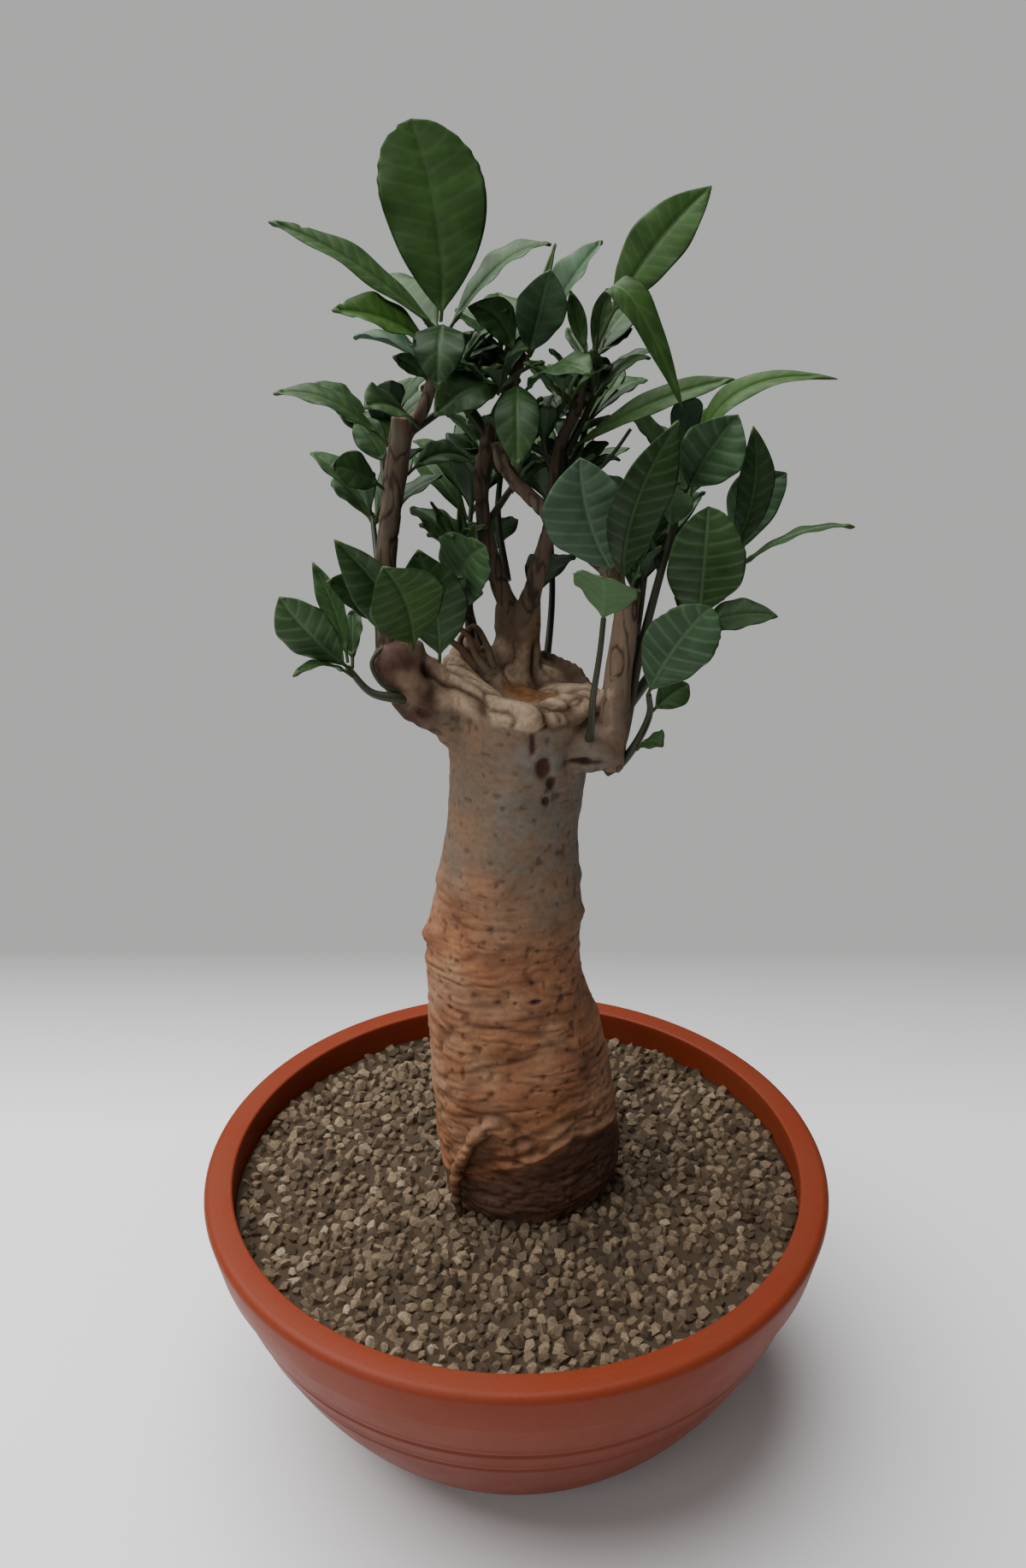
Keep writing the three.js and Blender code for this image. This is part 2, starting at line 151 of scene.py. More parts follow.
def relief(tree, height, depth_mm, strength=1.0):
    """A bump normal whose full height is depth_mm."""
    links = {"Height": height, "Distance": depth_mm * MM, "Strength": strength}
    return add(tree, "ShaderNodeBump", links).outputs[0]


def new_material(name):
    """An empty node material, its tree and its Principled shader."""
    material = bpy.data.materials.new(name)
    material.use_nodes = True
    tree = material.node_tree
    tree.nodes.clear()
    shader = add(tree, "ShaderNodeBsdfPrincipled")
    add(tree, "ShaderNodeOutputMaterial", {"Surface": shader.outputs[0]})
    return material, tree, shader


def join_up(tree, shader, **sockets):
    """Links outputs to the shader's sockets."""
    for name, output in sockets.items():
        tree.links.new(output, shader.inputs[name.replace("_", " ")])


def moulded_plastic(colour):
    """Terracotta-coloured polypropylene, injection moulded: even satin, a little dusty, with painted shade on
    the lower wall.
    """
    material, tree, shader = new_material("moulded_terracotta_plastic")
    shader.inputs["IOR"].default_value = 1.49
    shader.inputs["Specular IOR Level"].default_value = 0.15
    dust = span(tree, speckle(tree, 34, 4), 0.4, 0.75)
    shade = blend(tree, math_of(tree, "MULTIPLY", dust, 0.22), (*colour, 1), paint("6E3C28"))
    grain = speckle(tree, 1.6, 2)
    place = add(tree, "ShaderNodeSeparateXYZ", {0: add(tree, "ShaderNodeTexCoord").outputs["Object"]})
    # Painted shade: the wall below the rim band darkens towards the foot.
    band = (BOWL_HEIGHT - BAND_DEPTH) * MM
    low_wall_shade = span(tree, place.outputs["Z"], 0.6 * band, band, 0.72, 1.0)
    tone = math_of(tree, "MULTIPLY", span(tree, grain, 0.3, 0.7, 0.94, 1.05), low_wall_shade)
    grey = add(tree, "ShaderNodeCombineColor", {0: tone, 1: tone, 2: tone}).outputs[0]
    shade = blend(tree, 1.0, shade, grey, "MULTIPLY")
    rough = span(tree, dust, 0, 1, 0.42, 0.56)
    join_up(tree, shader, Base_Color=shade, Roughness=rough, Normal=relief(tree, grain, 0.05, 0.5))
    return material


def crushed_grit(colour):
    """Crushed pumice and lava grit, sieved to 4 to 8 mm: dry, porous and dull."""
    material, tree, shader = new_material("crushed_grit")
    shader.inputs["Specular IOR Level"].default_value = 0.25
    tone = from_mesh(tree, "tone")
    # The ramp's dark end gives the bed its painted shade between the grains.
    stone = ramp(tree, tone, [
        (0.0, "30261D"), (0.18, "5E5042"), (0.6, "7C6B57"), (0.95, "927F67"), (1.0, "B3A58C")])
    stone = blend(tree, 0.2, stone, (*colour, 1))
    pores = speckle(tree, 1.1, 4, rough=0.7)
    # Dark pores: partly the stone's own dark specks, partly painted shade in the dips of the pore relief.
    shade = blend(tree, span(tree, pores, 0.35, 0.62, 0.55, 0.0), stone, paint("35291F"))
    shader.inputs["Roughness"].default_value = 0.93
    join_up(tree, shader, Base_Color=shade, Normal=relief(tree, pores, 0.5, 0.8))
    return material


def caudex_bark(upper, lower):
    """Living bark of a caudex: thin grey-beige skin above, ochre wrinkled cork below."""
    material, tree, shader = new_material("living_caudex_bark")
    shader.inputs["Specular IOR Level"].default_value = 0.32
    cloud = speckle(tree, 17, 4)
    fine = speckle(tree, 2.6, 4, rough=0.65)
    skin = blend(tree, span(tree, cloud, 0.36, 0.66), (*upper, 1), paint("6B5D4D"))
    lichen = span(tree, speckle(tree, 9, 5), 0.42, 0.6, 0.1, 0.7)
    skin = blend(tree, math_of(tree, "MULTIPLY", lichen, from_mesh(tree, "lichen")), skin, paint("706E66"))
    cork = blend(tree, span(tree, cloud, 0.34, 0.64), (*lower, 1), paint("87583E"))
    cork = blend(tree, span(tree, speckle(tree, 30, 2), 0.45, 0.62, 0, 0.55), cork, paint("A98667"))
    shade = blend(tree, from_mesh(tree, "cork"), skin, cork)
    shade = blend(tree, from_mesh(tree, "callus"), shade, blend(tree, fine, paint("BEA68B"), paint("846C55")))
    shade = blend(tree, from_mesh(tree, "heart"), shade, blend(tree, fine, paint("94683F"), paint("5E3F28")))
    shade = blend(tree, from_mesh(tree, "scar"), shade, blend(tree, fine, paint("4A1F17"), paint("21120D")))
    # Darker at the foot and at the knot, and painted shade round the curled root.
    shade = blend(tree, from_mesh(tree, "dark_patch_and_shade"), shade, blend(tree, fine, paint("64493A"), paint("3E2B20")))
    darker = blend(tree, 0.5, shade, paint("31231A"))
    shade = blend(tree, span(tree, fine, 0.42, 0.66, 0.0, 0.4), shade, darker)
    # Painted shade in the furrows, the pits and between the callus rolls.
    shade = blend(tree, from_mesh(tree, "crease"), shade, paint("3A2417"))
    rough = span(tree, fine, 0.3, 0.7, 0.62, 0.86)
    join_up(tree, shader, Base_Color=shade, Roughness=rough, Normal=relief(tree, fine, 0.35, 0.7))
    return material


def limb_bark(colour):
    """Bark of young wood: thin, drawn into lengthwise ribs, grey with brown furrows."""
    material, tree, shader = new_material("ribbed_limb_bark")
    shader.inputs["Specular IOR Level"].default_value = 0.3
    streak = speckle(tree, 3.2, 4, stretch=(1, 1, 0.16))
    shade = blend(tree, span(tree, streak, 0.38, 0.62), (*colour, 1), paint("503F31"))
    shade = blend(tree, span(tree, speckle(tree, 12, 3), 0.5, 0.62, 0, 0.5), shade, paint("5A554D"))
    shade = blend(tree, from_mesh(tree, "pale"), shade, blend(tree, streak, paint("5C4C3E"), paint("8E7762")))
    shade = blend(tree, from_mesh(tree, "cut"), shade, paint("86694B"))
    # Painted shade in the cracks of the limb bark.
    shade = blend(tree, from_mesh(tree, "crease"), shade, paint("241A12"))
    shader.inputs["Roughness"].default_value = 0.8
    join_up(tree, shader, Base_Color=shade, Normal=relief(tree, streak, 0.5, 0.8))
    return material


def shoot_skin(colour):
    """Skin of this year's shoots: green and waxy, streaked with brown."""
    material, tree, shader = new_material("green_shoot_skin")
    shader.inputs["Specular IOR Level"].default_value = 0.4
    shader.inputs["Roughness"].default_value = 0.5
    streak = speckle(tree, 2.4, 3, stretch=(1, 1, 0.3))
    shade = blend(tree, span(tree, streak, 0.35, 0.65, 0, 0.8), (*colour, 1), paint("342F20"))
    join_up(tree, shader, Base_Color=shade, Normal=relief(tree, streak, 0.2, 0.6))
    return material


def leaf_blade(dark, bright):
    """Waxy leaf blade: dark gloss above, duller and bluish beneath, pale veins."""
    material, tree, shader = new_material("waxy_leaf_blade")
    shader.inputs["IOR"].default_value = 1.4
    shader.inputs["Specular IOR Level"].default_value = 0.2
    # The tone mixes dark and bright green; the low tones of the inner leaves are painted shade.
    shade = blend(tree, from_mesh(tree, "tone"), (*dark, 1), (*bright, 1))
    shade = blend(tree, from_mesh(tree, "bloom"), shade, paint("4B6352"))
    shade = blend(tree, span(tree, speckle(tree, 9, 3), 0.35, 0.7, 0, 0.35), shade, paint("111C0D"))

    # Side veins run where the stored phase is a whole number; the midrib is the middle line.
    between = math_of(tree, "PINGPONG", from_mesh(tree, "veins"), 0.5)
    side_vein = span(tree, between, 0.02, 0.2, 0.42, 0.0)
    middle = span(tree, math_of(tree, "ABSOLUTE", from_mesh(tree, "across")), 0.3, 1.0, 0.6, 0.0)
    lines = math_of(tree, "MULTIPLY", math_of(tree, "MAXIMUM", side_vein, middle), from_mesh(tree, "vein"))
    shade = blend(tree, lines, shade, blend(tree, 0.5, shade, paint("7E9A76")))
    shade = blend(tree, from_mesh(tree, "under"), shade, blend(tree, 0.4, shade, paint("5F7566")))
    shade = blend(tree, from_mesh(tree, "stalk"), shade, paint("3C4A28"))
    rough = span(tree, from_mesh(tree, "under"), 0, 1, 0.42, 0.65)
    join_up(tree, shader, Base_Color=shade, Roughness=rough, Normal=relief(tree, lines, -0.25, 0.5))
    return material


# ---- Numbers and meshes -----------------------------------------------------------------


def smooth_rows(rows, per_span):
    """A Catmull-Rom curve through rows of any width."""
    rows = np.array(rows, float)
    padded = np.vstack([2 * rows[0] - rows[1], rows, 2 * rows[-1] - rows[-2]])
    steps = np.linspace(0, 1, per_span, endpoint=False)[:, None]
    out = []
    for i in range(len(rows) - 1):
        a, b, c, d = padded[i:i + 4]
        out.append(0.5 * (2 * b + (c - a) * steps + (2 * a - 5 * b + 4 * c - d) * steps ** 2
                          + (3 * b - a - 3 * c + d) * steps ** 3))
    return np.vstack(out + [rows[-1:]])


def noise(points, size, seed=0):
    """Smooth value noise from 0 to 1 on rows of points, its cells size across."""
    scaled = np.asarray(points, float) / np.asarray(size, float) + 37.3 * (seed + 1)
    cell = np.floor(scaled).astype(np.int64)
    part = scaled - cell
    part = part * part * (3 - 2 * part)
    total = np.zeros(len(cell))
    for corner in range(8):
        bits = np.array([corner & 1, corner >> 1 & 1, corner >> 2 & 1])
        key = (cell + bits) @ np.array([73856093, 19349663, 83492791]) + seed * 2654435
        key = (key ^ (key >> 13)) * 1274126177 & 0xFFFFFFFF
        key = (key ^ (key >> 16)) & 0xFFFF
        weight = np.prod(np.where(bits, part, 1 - part), axis=1)
        total += weight * key / 0xFFFF
    return total


def step_up(value, low, high):
    """0 below low, 1 above high, smooth between; low may be the larger."""
    share = np.clip((value - low) / (high - low), 0, 1)
    return share * share * (3 - 2 * share)


def bell(points, centre, sizes):
    """A round bump of height 1 at centre."""
    return np.exp(-((((points - np.array(centre)) / np.array(sizes)) ** 2).sum(1)))


def mesh_piece(name, points, faces, material, values=None):
    """A mesh object from points in millimetres, with float attributes by name."""
    mesh = bpy.data.meshes.new(name)
    mesh.from_pydata((np.asarray(points) * MM).tolist(), [], faces)
    mesh.validate()
    for key, numbers in (values or {}).items():
        layer = mesh.attributes.new(key, "FLOAT", "POINT")
        layer.data.foreach_set("value", np.asarray(numbers, np.float32))
    mesh.polygons.foreach_set("use_smooth", [True] * len(mesh.polygons))
    if material:
        mesh.materials.append(material)
    piece = bpy.data.objects.new(name, mesh)
    bpy.context.scene.collection.objects.link(piece)
    return piece


def face_outwards(piece):
    """Recalculates the normals of a closed piece."""
    shape = bmesh.new()
    shape.from_mesh(piece.data)
    bmesh.ops.recalc_face_normals(shape, faces=shape.faces)
    shape.to_mesh(piece.data)
    shape.free()


def skin_faces(rings, sides, around=True):
    """Quads between rows of points, closed round each row where asked."""
    last = sides if around else sides - 1
    faces = []
    for ring in range(rings - 1):
        for side in range(last):
            after = (side + 1) % sides
            low, high = ring * sides, (ring + 1) * sides
            faces.append((low + side, low + after, high + after, high + side))
    return faces


def turned(profile, steps):
    """Points and faces of a closed profile of (radius, height) rows turned about Z."""
    turns = np.linspace(0, 2 * np.pi, steps, endpoint=False)
    profile = np.array(profile, float)
    points = []
    for turn in turns:
        points.append(np.column_stack([
            profile[:, 0] * math.cos(turn), profile[:, 0] * math.sin(turn), profile[:, 1]]))
    rows = len(profile)
    faces = []
    for i in range(steps):
        for j in range(rows):
            here, there = i * rows, (i + 1) % steps * rows
            faces.append((here + j, there + j, there + (j + 1) % rows, here + (j + 1) % rows))
    return np.vstack(points), faces


def settle(piece, name):
    """Applies a piece's modifiers to a plain mesh and returns the piece under its name."""
    bpy.context.view_layer.update()
    seen = piece.evaluated_get(bpy.context.evaluated_depsgraph_get())
    mesh = bpy.data.meshes.new_from_object(seen)
    done = bpy.data.objects.new(name, mesh)
    bpy.context.scene.collection.objects.link(done)
    bpy.data.objects.remove(piece)
    done.name = name
    return done


def fused(pieces, name, voxel_mm, smoothing=4):
    """Joins closed pieces into one skin with a voxel remesh and smooths away the steps."""
    whole = bmesh.new()
    for piece in pieces:
        whole.from_mesh(piece.data)
    mesh = bpy.data.meshes.new(name)
    whole.to_mesh(mesh)
    whole.free()
    for piece in pieces:
        bpy.data.objects.remove(piece)
    body = bpy.data.objects.new(name + "_rough", mesh)
    bpy.context.scene.collection.objects.link(body)
    remesh = body.modifiers.new("fuse", "REMESH")
    remesh.mode = "VOXEL"
    remesh.voxel_size = voxel_mm * MM
    smooth = body.modifiers.new("smooth", "SMOOTH")
    smooth.factor = 0.5
    smooth.iterations = smoothing
    return settle(body, name)


def points_of(piece):
    """Points and normals of a mesh piece, in millimetres."""
    count = len(piece.data.vertices)
    flat = np.empty(count * 3, np.float32)
    piece.data.vertices.foreach_get("co", flat)
    points = flat.reshape(-1, 3).astype(float) / MM
    piece.data.vertex_normals.foreach_get("vector", flat)
    return points, flat.reshape(-1, 3).astype(float)


def carve(piece, points, material, values):
    """Moves a piece's points, stores its values and gives it a material."""
    piece.data.vertices.foreach_set("co", (points * MM).astype(np.float32).ravel())
    for key, numbers in values.items():
        layer = piece.data.attributes.new(key, "FLOAT", "POINT")
        layer.data.foreach_set("value", np.clip(numbers, 0, 1).astype(np.float32))
    piece.data.materials.clear()
    piece.data.materials.append(material)
    piece.data.polygons.foreach_set("use_smooth", [True] * len(piece.data.polygons))
    piece.data.update()


def own(piece, slot, *nodes):
    """Rides a finished piece on the plant's one body."""
    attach(piece, BODY)
    if nodes:
        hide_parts(*nodes)


def check_place(piece, node, slack_mm):
    """Stops the script where a piece has left its CAD node's place."""
    points, _ = points_of(piece)
    for found, wanted in zip((points.min(0), points.max(0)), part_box(node)):
        gap = np.abs(found - np.array(wanted) / MM).max()
        if gap > slack_mm:
            raise RuntimeError(f"{piece.name} is {gap:.1f} mm away from {node}")


# ---- Geometry Nodes trees ---------------------------------------------------------------


def node_group(name, sockets):
    """A Geometry Nodes tree with the given (name, kind, default) inputs."""
    tree = bpy.data.node_groups.new(name, "GeometryNodeTree")
    tree.interface.new_socket("Geometry", in_out="INPUT", socket_type="NodeSocketGeometry")
    tree.interface.new_socket("Geometry", in_out="OUTPUT", socket_type="NodeSocketGeometry")
    for label, kind, default in sockets:
        socket = tree.interface.new_socket(label, in_out="INPUT", socket_type="NodeSocket" + kind)
        if default is not None:
            socket.default_value = default
    return tree, tree.nodes.new("NodeGroupInput").outputs, tree.nodes.new("NodeGroupOutput")


def grow(piece, tree, name, **inputs):
    """Runs a tree on a piece with inputs by name and returns the plain mesh piece."""
    modifier = piece.modifiers.new("grow", "NODES")
    modifier.node_group = tree
    for item in tree.interface.items_tree:
        key = item.name.replace(" ", "_").lower()
        if item.in_out == "INPUT" and key in inputs:
            modifier[item.identifier] = inputs[key]
    return settle(piece, name)


def stem_tree():
    """A round stem along a curve, as thick as the curve's own radius."""
    tree, given, result = node_group("Stem along a curve", [
        ("Sides", "Int", 16), ("Step", "Float", 1.0 * MM), ("Material", "Material", None)])
    even = add(tree, "GeometryNodeResampleCurve", {"Curve": given["Geometry"]}, mode="LENGTH")
    tree.links.new(given["Step"], even.inputs["Length"])
    ring = add(tree, "GeometryNodeCurvePrimitiveCircle", {"Resolution": given["Sides"], "Radius": 1.0})
    radius = add(tree, "GeometryNodeInputRadius").outputs[0]
    tube = add(tree, "GeometryNodeCurveToMesh", {
        "Curve": even.outputs[0], "Profile Curve": ring.outputs[0], "Scale": radius, "Fill Caps": True})
    real = add(tree, "GeometryNodeRealizeInstances", {0: tube.outputs[0]})
    coated = add(tree, "GeometryNodeSetMaterial", {
        "Geometry": real.outputs[0], "Material": given["Material"]})
    tree.links.new(coated.outputs[0], result.inputs[0])
    return tree


def grit_tree():
    """Grains scattered on a surface, each turned, sized and toned by chance."""
    tree, given, result = node_group("Scattered grit", [
        ("Grains", "Collection", None), ("Spacing", "Float", 3 * MM), ("Density", "Float", 2e5),
        ("Smallest", "Float", 4 * MM), ("Largest", "Float", 6 * MM), ("Seed", "Int", 1),
        ("Material", "Material", None)])
    spots = add(tree, "GeometryNodeDistributePointsOnFaces", distribute_method="POISSON")
    for name, source in (
            ("Mesh", "Geometry"), ("Distance Min", "Spacing"), ("Density Max", "Density"), ("Seed", "Seed")):
        tree.links.new(given[source], spots.inputs[name])
    grains = add(tree, "GeometryNodeCollectionInfo", {
        "Collection": given["Grains"], "Separate Children": True, "Reset Children": True})
    turn = add(tree, "FunctionNodeRandomValue", {0: (0, 0, 0), 1: (6.28, 6.28, 6.28), "Seed": given["Seed"]},
               data_type="FLOAT_VECTOR")
    size = add(tree, "FunctionNodeRandomValue", {
        2: given["Smallest"], 3: given["Largest"], "Seed": given["Seed"]})
    placed = add(tree, "GeometryNodeInstanceOnPoints", {
        "Points": spots.outputs["Points"], "Instance": grains.outputs[0], "Pick Instance": True,
        "Rotation": turn.outputs[0], "Scale": size.outputs[1]})
    chance = add(tree, "FunctionNodeRandomValue", {2: 0.0, 3: 1.0, "Seed": 11})
    toned = add(tree, "GeometryNodeStoreNamedAttribute", {
        "Geometry": placed.outputs[0], "Name": "tone", "Value": chance.outputs[1]}, domain="INSTANCE")
    real = add(tree, "GeometryNodeRealizeInstances", {0: toned.outputs[0]})
    coated = add(tree, "GeometryNodeSetMaterial", {
        "Geometry": real.outputs[0], "Material": given["Material"]})
    tree.links.new(coated.outputs[0], result.inputs[0])
    return tree


def stem_piece(name, path, radii, material, sides=16, step_mm=1.0):
    """One stem through path points, its radius going evenly through radii, all in mm."""
    places = np.linspace(0, 1, len(path))
    widths = np.interp(places, np.linspace(0, 1, len(radii)), radii)
    rows = smooth_rows(np.column_stack([path, widths]), 10)
    line = bpy.data.curves.new(name + "_path", "CURVE")
    line.dimensions = "3D"
    spline = line.splines.new("POLY")
    spline.points.add(len(rows) - 1)
    for point, row in zip(spline.points, rows):
        point.co = (*(row[:3] * MM), 1)
        point.radius = row[3] * MM
    holder = bpy.data.objects.new(name + "_path", line)
    bpy.context.scene.collection.objects.link(holder)
    tree = bpy.data.node_groups.get("Stem along a curve") or stem_tree()
    return grow(holder, tree, name, sides=sides, step=step_mm * MM, material=material)


# ---- Bowl -------------------------------------------------------------------------------

# The mouth, the rim band and the foot, measured inwards and down from the bowl's size.
MOUTH_RADIUS = 136.5
LIP_ROUNDING = 4.0
BAND_DEPTH = 24.0
SIDE_BEND = (124.0, 37.5)
FOOT_RADIUS = 80.0
FOOT_WIDTH = 16.0
FOOT_RISE = 3.0
WALL = 6.0
FLOOR_TOP = 9.0
DRAIN_RADIUS = 10.0
GROOVES = (84.0, 70.0)


def side_curve(share):
    """Radius and height of the outer wall at a share of its way from band to foot."""
    top = np.array([BOWL_RADIUS - 6.5, BOWL_HEIGHT - BAND_DEPTH - 1])
    bend, foot = np.array(SIDE_BEND), np.array([FOOT_RADIUS + 4, FOOT_RISE])
    share = np.asarray(share, float)[:, None]
    return (1 - share) ** 2 * top + 2 * share * (1 - share) * bend + share ** 2 * foot


def corner(points, centre, radius, start, end, steps=5):
    """Adds a rounded corner to a profile, its angles in degrees."""
    for angle in np.radians(np.linspace(start, end, steps)):
        points.append((centre[0] + radius * math.cos(angle), centre[1] + radius * math.sin(angle)))


def bowl_profile(groove_depth):
    """The closed outline of half the bowl, from the lip down the outside and back up."""
    top = BOWL_HEIGHT
    points = []
    corner(points, (MOUTH_RADIUS + 1.2, top - 1.2), 1.2, 180, 90)
    corner(points, (BOWL_RADIUS - LIP_ROUNDING, top - LIP_ROUNDING), LIP_ROUNDING, 90, 0, 9)
    corner(points, (BOWL_RADIUS - 4.9, top - BAND_DEPTH + 2.5), 1.3, 0, -90)
    side = side_curve(np.linspace(0, 1, 110))
    corner(points, (side[0][0] + 0.7, top - BAND_DEPTH + 0.4), 0.7, 90, 180)
    for radius, height in side:
        dent = sum(math.exp(-((height - groove) / 0.9) ** 2) for groove in GROOVES)
        ridge = sum(math.exp(-((height - groove - 3.2) / 1.4) ** 2) for groove in GROOVES)
        points.append((radius - groove_depth * dent + 0.35 * groove_depth * ridge, height))
    points += [(FOOT_RADIUS + 0.6, 0.5), (FOOT_RADIUS - 1, 0), (FOOT_RADIUS - FOOT_WIDTH + 1, 0),
               (FOOT_RADIUS - FOOT_WIDTH, 0.6), (FOOT_RADIUS - FOOT_WIDTH - 2, FOOT_RISE),
               (DRAIN_RADIUS + 0.6, FOOT_RISE), (DRAIN_RADIUS, FOOT_RISE + 0.6),
               (DRAIN_RADIUS, FLOOR_TOP - 0.6), (DRAIN_RADIUS + 0.6, FLOOR_TOP)]
    inside = side_curve(np.linspace(0.95, 0.06, 24)) + np.array([-WALL, WALL / 2])
    points += [(FOOT_RADIUS - 4, FLOOR_TOP)]
    points += [(min(r, MOUTH_RADIUS), z) for r, z in inside if z > FLOOR_TOP + 1]
    points += [(MOUTH_RADIUS, 108), (MOUTH_RADIUS, top - 6)]
    return points


# ---- Grit -------------------------------------------------------------------------------


def grain_shapes(count, material):
    """A collection of angular crumbs about 1 across, each with a few dozen faces."""
    basket = bpy.data.collections.new("grains")
    dice = np.random.default_rng(4)
    for i in range(count):
        shape = bmesh.new()
        for spot in dice.normal(size=(19, 3)):
            spot *= 0.5 / np.linalg.norm(spot) * dice.uniform(0.86, 1.06)
            shape.verts.new(Vector(spot * np.array([1, dice.uniform(0.7, 0.95), dice.uniform(0.6, 0.85)])))
        hull = bmesh.ops.convex_hull(shape, input=shape.verts)
        inner = [g for g in hull["geom_interior"] if isinstance(g, bmesh.types.BMVert)]
        bmesh.ops.delete(shape, geom=inner, context="VERTS")
        mesh = bpy.data.meshes.new(f"grain_{i}")
        shape.to_mesh(mesh)
        shape.free()
        mesh.materials.append(material)
        basket.objects.link(bpy.data.objects.new(f"grain_{i}", mesh))
    return basket


def bed_height(x, y):
    """How high the grit lies, in mm: level, a little heaped round the trunk."""
    spots = np.column_stack([x, y, np.zeros(len(x))])
    heap = 3.4 * np.exp(-(((x - 5) / 52) ** 2 + (y / 49) ** 2))
    return GRAVEL_TOP - 2.9 + heap + 2.2 * (noise(spots, 24, 5) - 0.5) + 1.0 * (noise(spots, 9, 6) - 0.5)


def bed_piece(material):
    """The body of the bed under its loose top layer, in painted shade between the grains."""
    steps, rows = 180, 34
    radii = np.linspace(MOUTH_RADIUS - 0.5, 0.5, rows)
    inside = [(FOOT_RADIUS - 5, FLOOR_TOP + 0.3)] + [
        (r - 0.5, z) for r, z in side_curve(np.linspace(0.9, 0.1, 12)) + np.array([-WALL, WALL / 2])
        if r < MOUTH_RADIUS and z < 105 and z > FLOOR_TOP + 2]
    inside += [(MOUTH_RADIUS - 0.5, 106)]
    profile = [(0.5, FLOOR_TOP + 5), (DRAIN_RADIUS + 1, FLOOR_TOP + 4), (DRAIN_RADIUS + 4, FLOOR_TOP + 0.3)]
    profile += inside + [(radius, GRAVEL_TOP) for radius in radii]
    points, faces = turned(profile, steps)
    top = np.abs(points[:, 2] - GRAVEL_TOP) < 0.01
    points[top, 2] = bed_height(points[top, 0], points[top, 1])
    # The darkest tone here is painted shade in the gaps between the grains.
    piece = mesh_piece("grit_bed", points, faces, material, {"tone": np.full(len(points), 0.02)})
    face_outwards(piece)
    return piece


def ring_surface(inner_grow, outer):
    """A level ring from the trunk's skin out to the bowl, to scatter things on."""
    steps, rows = 120, 24
    turns = np.linspace(0, 2 * np.pi, steps, endpoint=False)
    points = []
    for share in np.linspace(0, 1, rows):
        near = np.array([5 + (38 + inner_grow) * np.cos(turns), (35 + inner_grow) * np.sin(turns)])
        far = np.array([outer * np.cos(turns), outer * np.sin(turns)])
        x, y = near * (1 - share) + far * share
        points.append(np.column_stack([x, y, bed_height(x, y)]))
    return mesh_piece("grit_ground", np.vstack(points), skin_faces(rows, steps), None)


# ---- Trunk ------------------------------------------------------------------------------

# Height, centre x, centre y, half width and half depth, from the grit up to the cut.
TRUNK_STATIONS = [
    (104, 4.4, 0.5, 36, 33),
    (118, 5, 0, 39, 36),
    (130, 6.4, 0, 42.2, 38.5),
    (155, 3.9, 0, 42.9, 39),
    (180, 1.9, 0, 42.3, 38),
    (208, -1, 0, 39.9, 36),
    (226, -4, 0, 36.6, 33.5),
    (244, -5.3, 0, 34.8, 32),
    (268, -3.5, 0, 33.3, 31),
    (302, -1.3, 0, 29.4, 28.5),
    (333, 0.8, 0, 29.4, 28),
    (350, 2, 0, 31.5, 29),
]
FOOT_STATIONS = [
    (62, 2, 3, 4, 4), (66, 2, 3, 14, 13), (74, 3, 2, 25, 23), (95, 4, 1, 34, 31), (108, 4.6, 0.4, 36, 33)]
CUT_RINGS = [
    (1.05, -9), (1.09, -4), (1.06, 0.5), (0.98, 2.6), (0.86, 2.8), (0.7, 1.2), (0.5, -2), (0.3, -4.5),
    (0.08, -5)]
CUT_HEIGHT, CUT_SLOPE_X, CUT_SLOPE_Y = 374.0, -0.13, 0.12
LEFT_STUB = [(-8, -3, 344), (-26, -5, 361), (-41, -7, 374), (-50, -8, 387), (-53, -8, 393)]
RIGHT_STUB = [(12, -10, 354), (28, -13, 350), (38, -14, 347), (43, -15, 347)]
LIMB_FEET = [
    ([(-3, 22, 362), (-3, 19, 378), (-4, 17, 392), (-6, 15, 404)], [13, 9, 5.6, 3.2]),
    ([(3, 20, 362), (4, 17, 382), (8, 13, 406)], [10, 6.4, 2.6]),
    ([(33, -11, 350), (39, -13, 358), (41, -13, 372), (43, -12, 390)], [10, 8.2, 6.6, 4.6]),
    ([(-19, 12, 360), (-20, 15, 376), (-21, 16, 386)], [7, 4, 2.2]),
]
CURLS = [
    [(-17, 4, 378), (-23, 3, 386), (-28, 2, 391), (-25, 1, 396), (-20, 1, 392), (-17, 1, 384), (-12, 0, 377)],
    [(-20, 10, 378), (-24, 8, 388), (-18, 7, 395), (-13, 6, 388), (-10, 4, 378)],
]
ROOTS = [
    [(22, -8, 84), (44, -18, 74), (68, -30, 62)],
    [(-16, -14, 84), (-38, -30, 76), (-56, -48, 66)],
    [(-18, 12, 82), (-44, 26, 72), (-62, 40, 58)],
    [(16, 18, 82), (34, 42, 70), (42, 66, 60)],
]
CURLED_ROOT = [
    (-26, -30, 116), (-28, -31.5, 128), (-27.5, -32.5, 140), (-25, -34, 152), (-20, -36.5, 165),
    (-12, -38, 174),
    (-4, -38.5, 169), (-2, -38.5, 160)]


def cut_plane(points):
    """Height of the sawn face over any point."""
    return CUT_HEIGHT + CUT_SLOPE_X * points[:, 0] + CUT_SLOPE_Y * points[:, 1]


def trunk_ring(station, sides):
    """One ring of the trunk with its shallow lengthwise swellings."""
    height, x, y, half_width, half_depth = station
    turns = np.linspace(0, 2 * np.pi, sides, endpoint=False)
    swell = 1 + 0.022 * np.sin(3 * turns + height / 60) + 0.014 * np.sin(5 * turns - height / 35)
    return np.column_stack([
        x + half_width * swell * np.cos(turns), y + half_depth * swell * np.sin(turns),
        np.full(sides, height)])


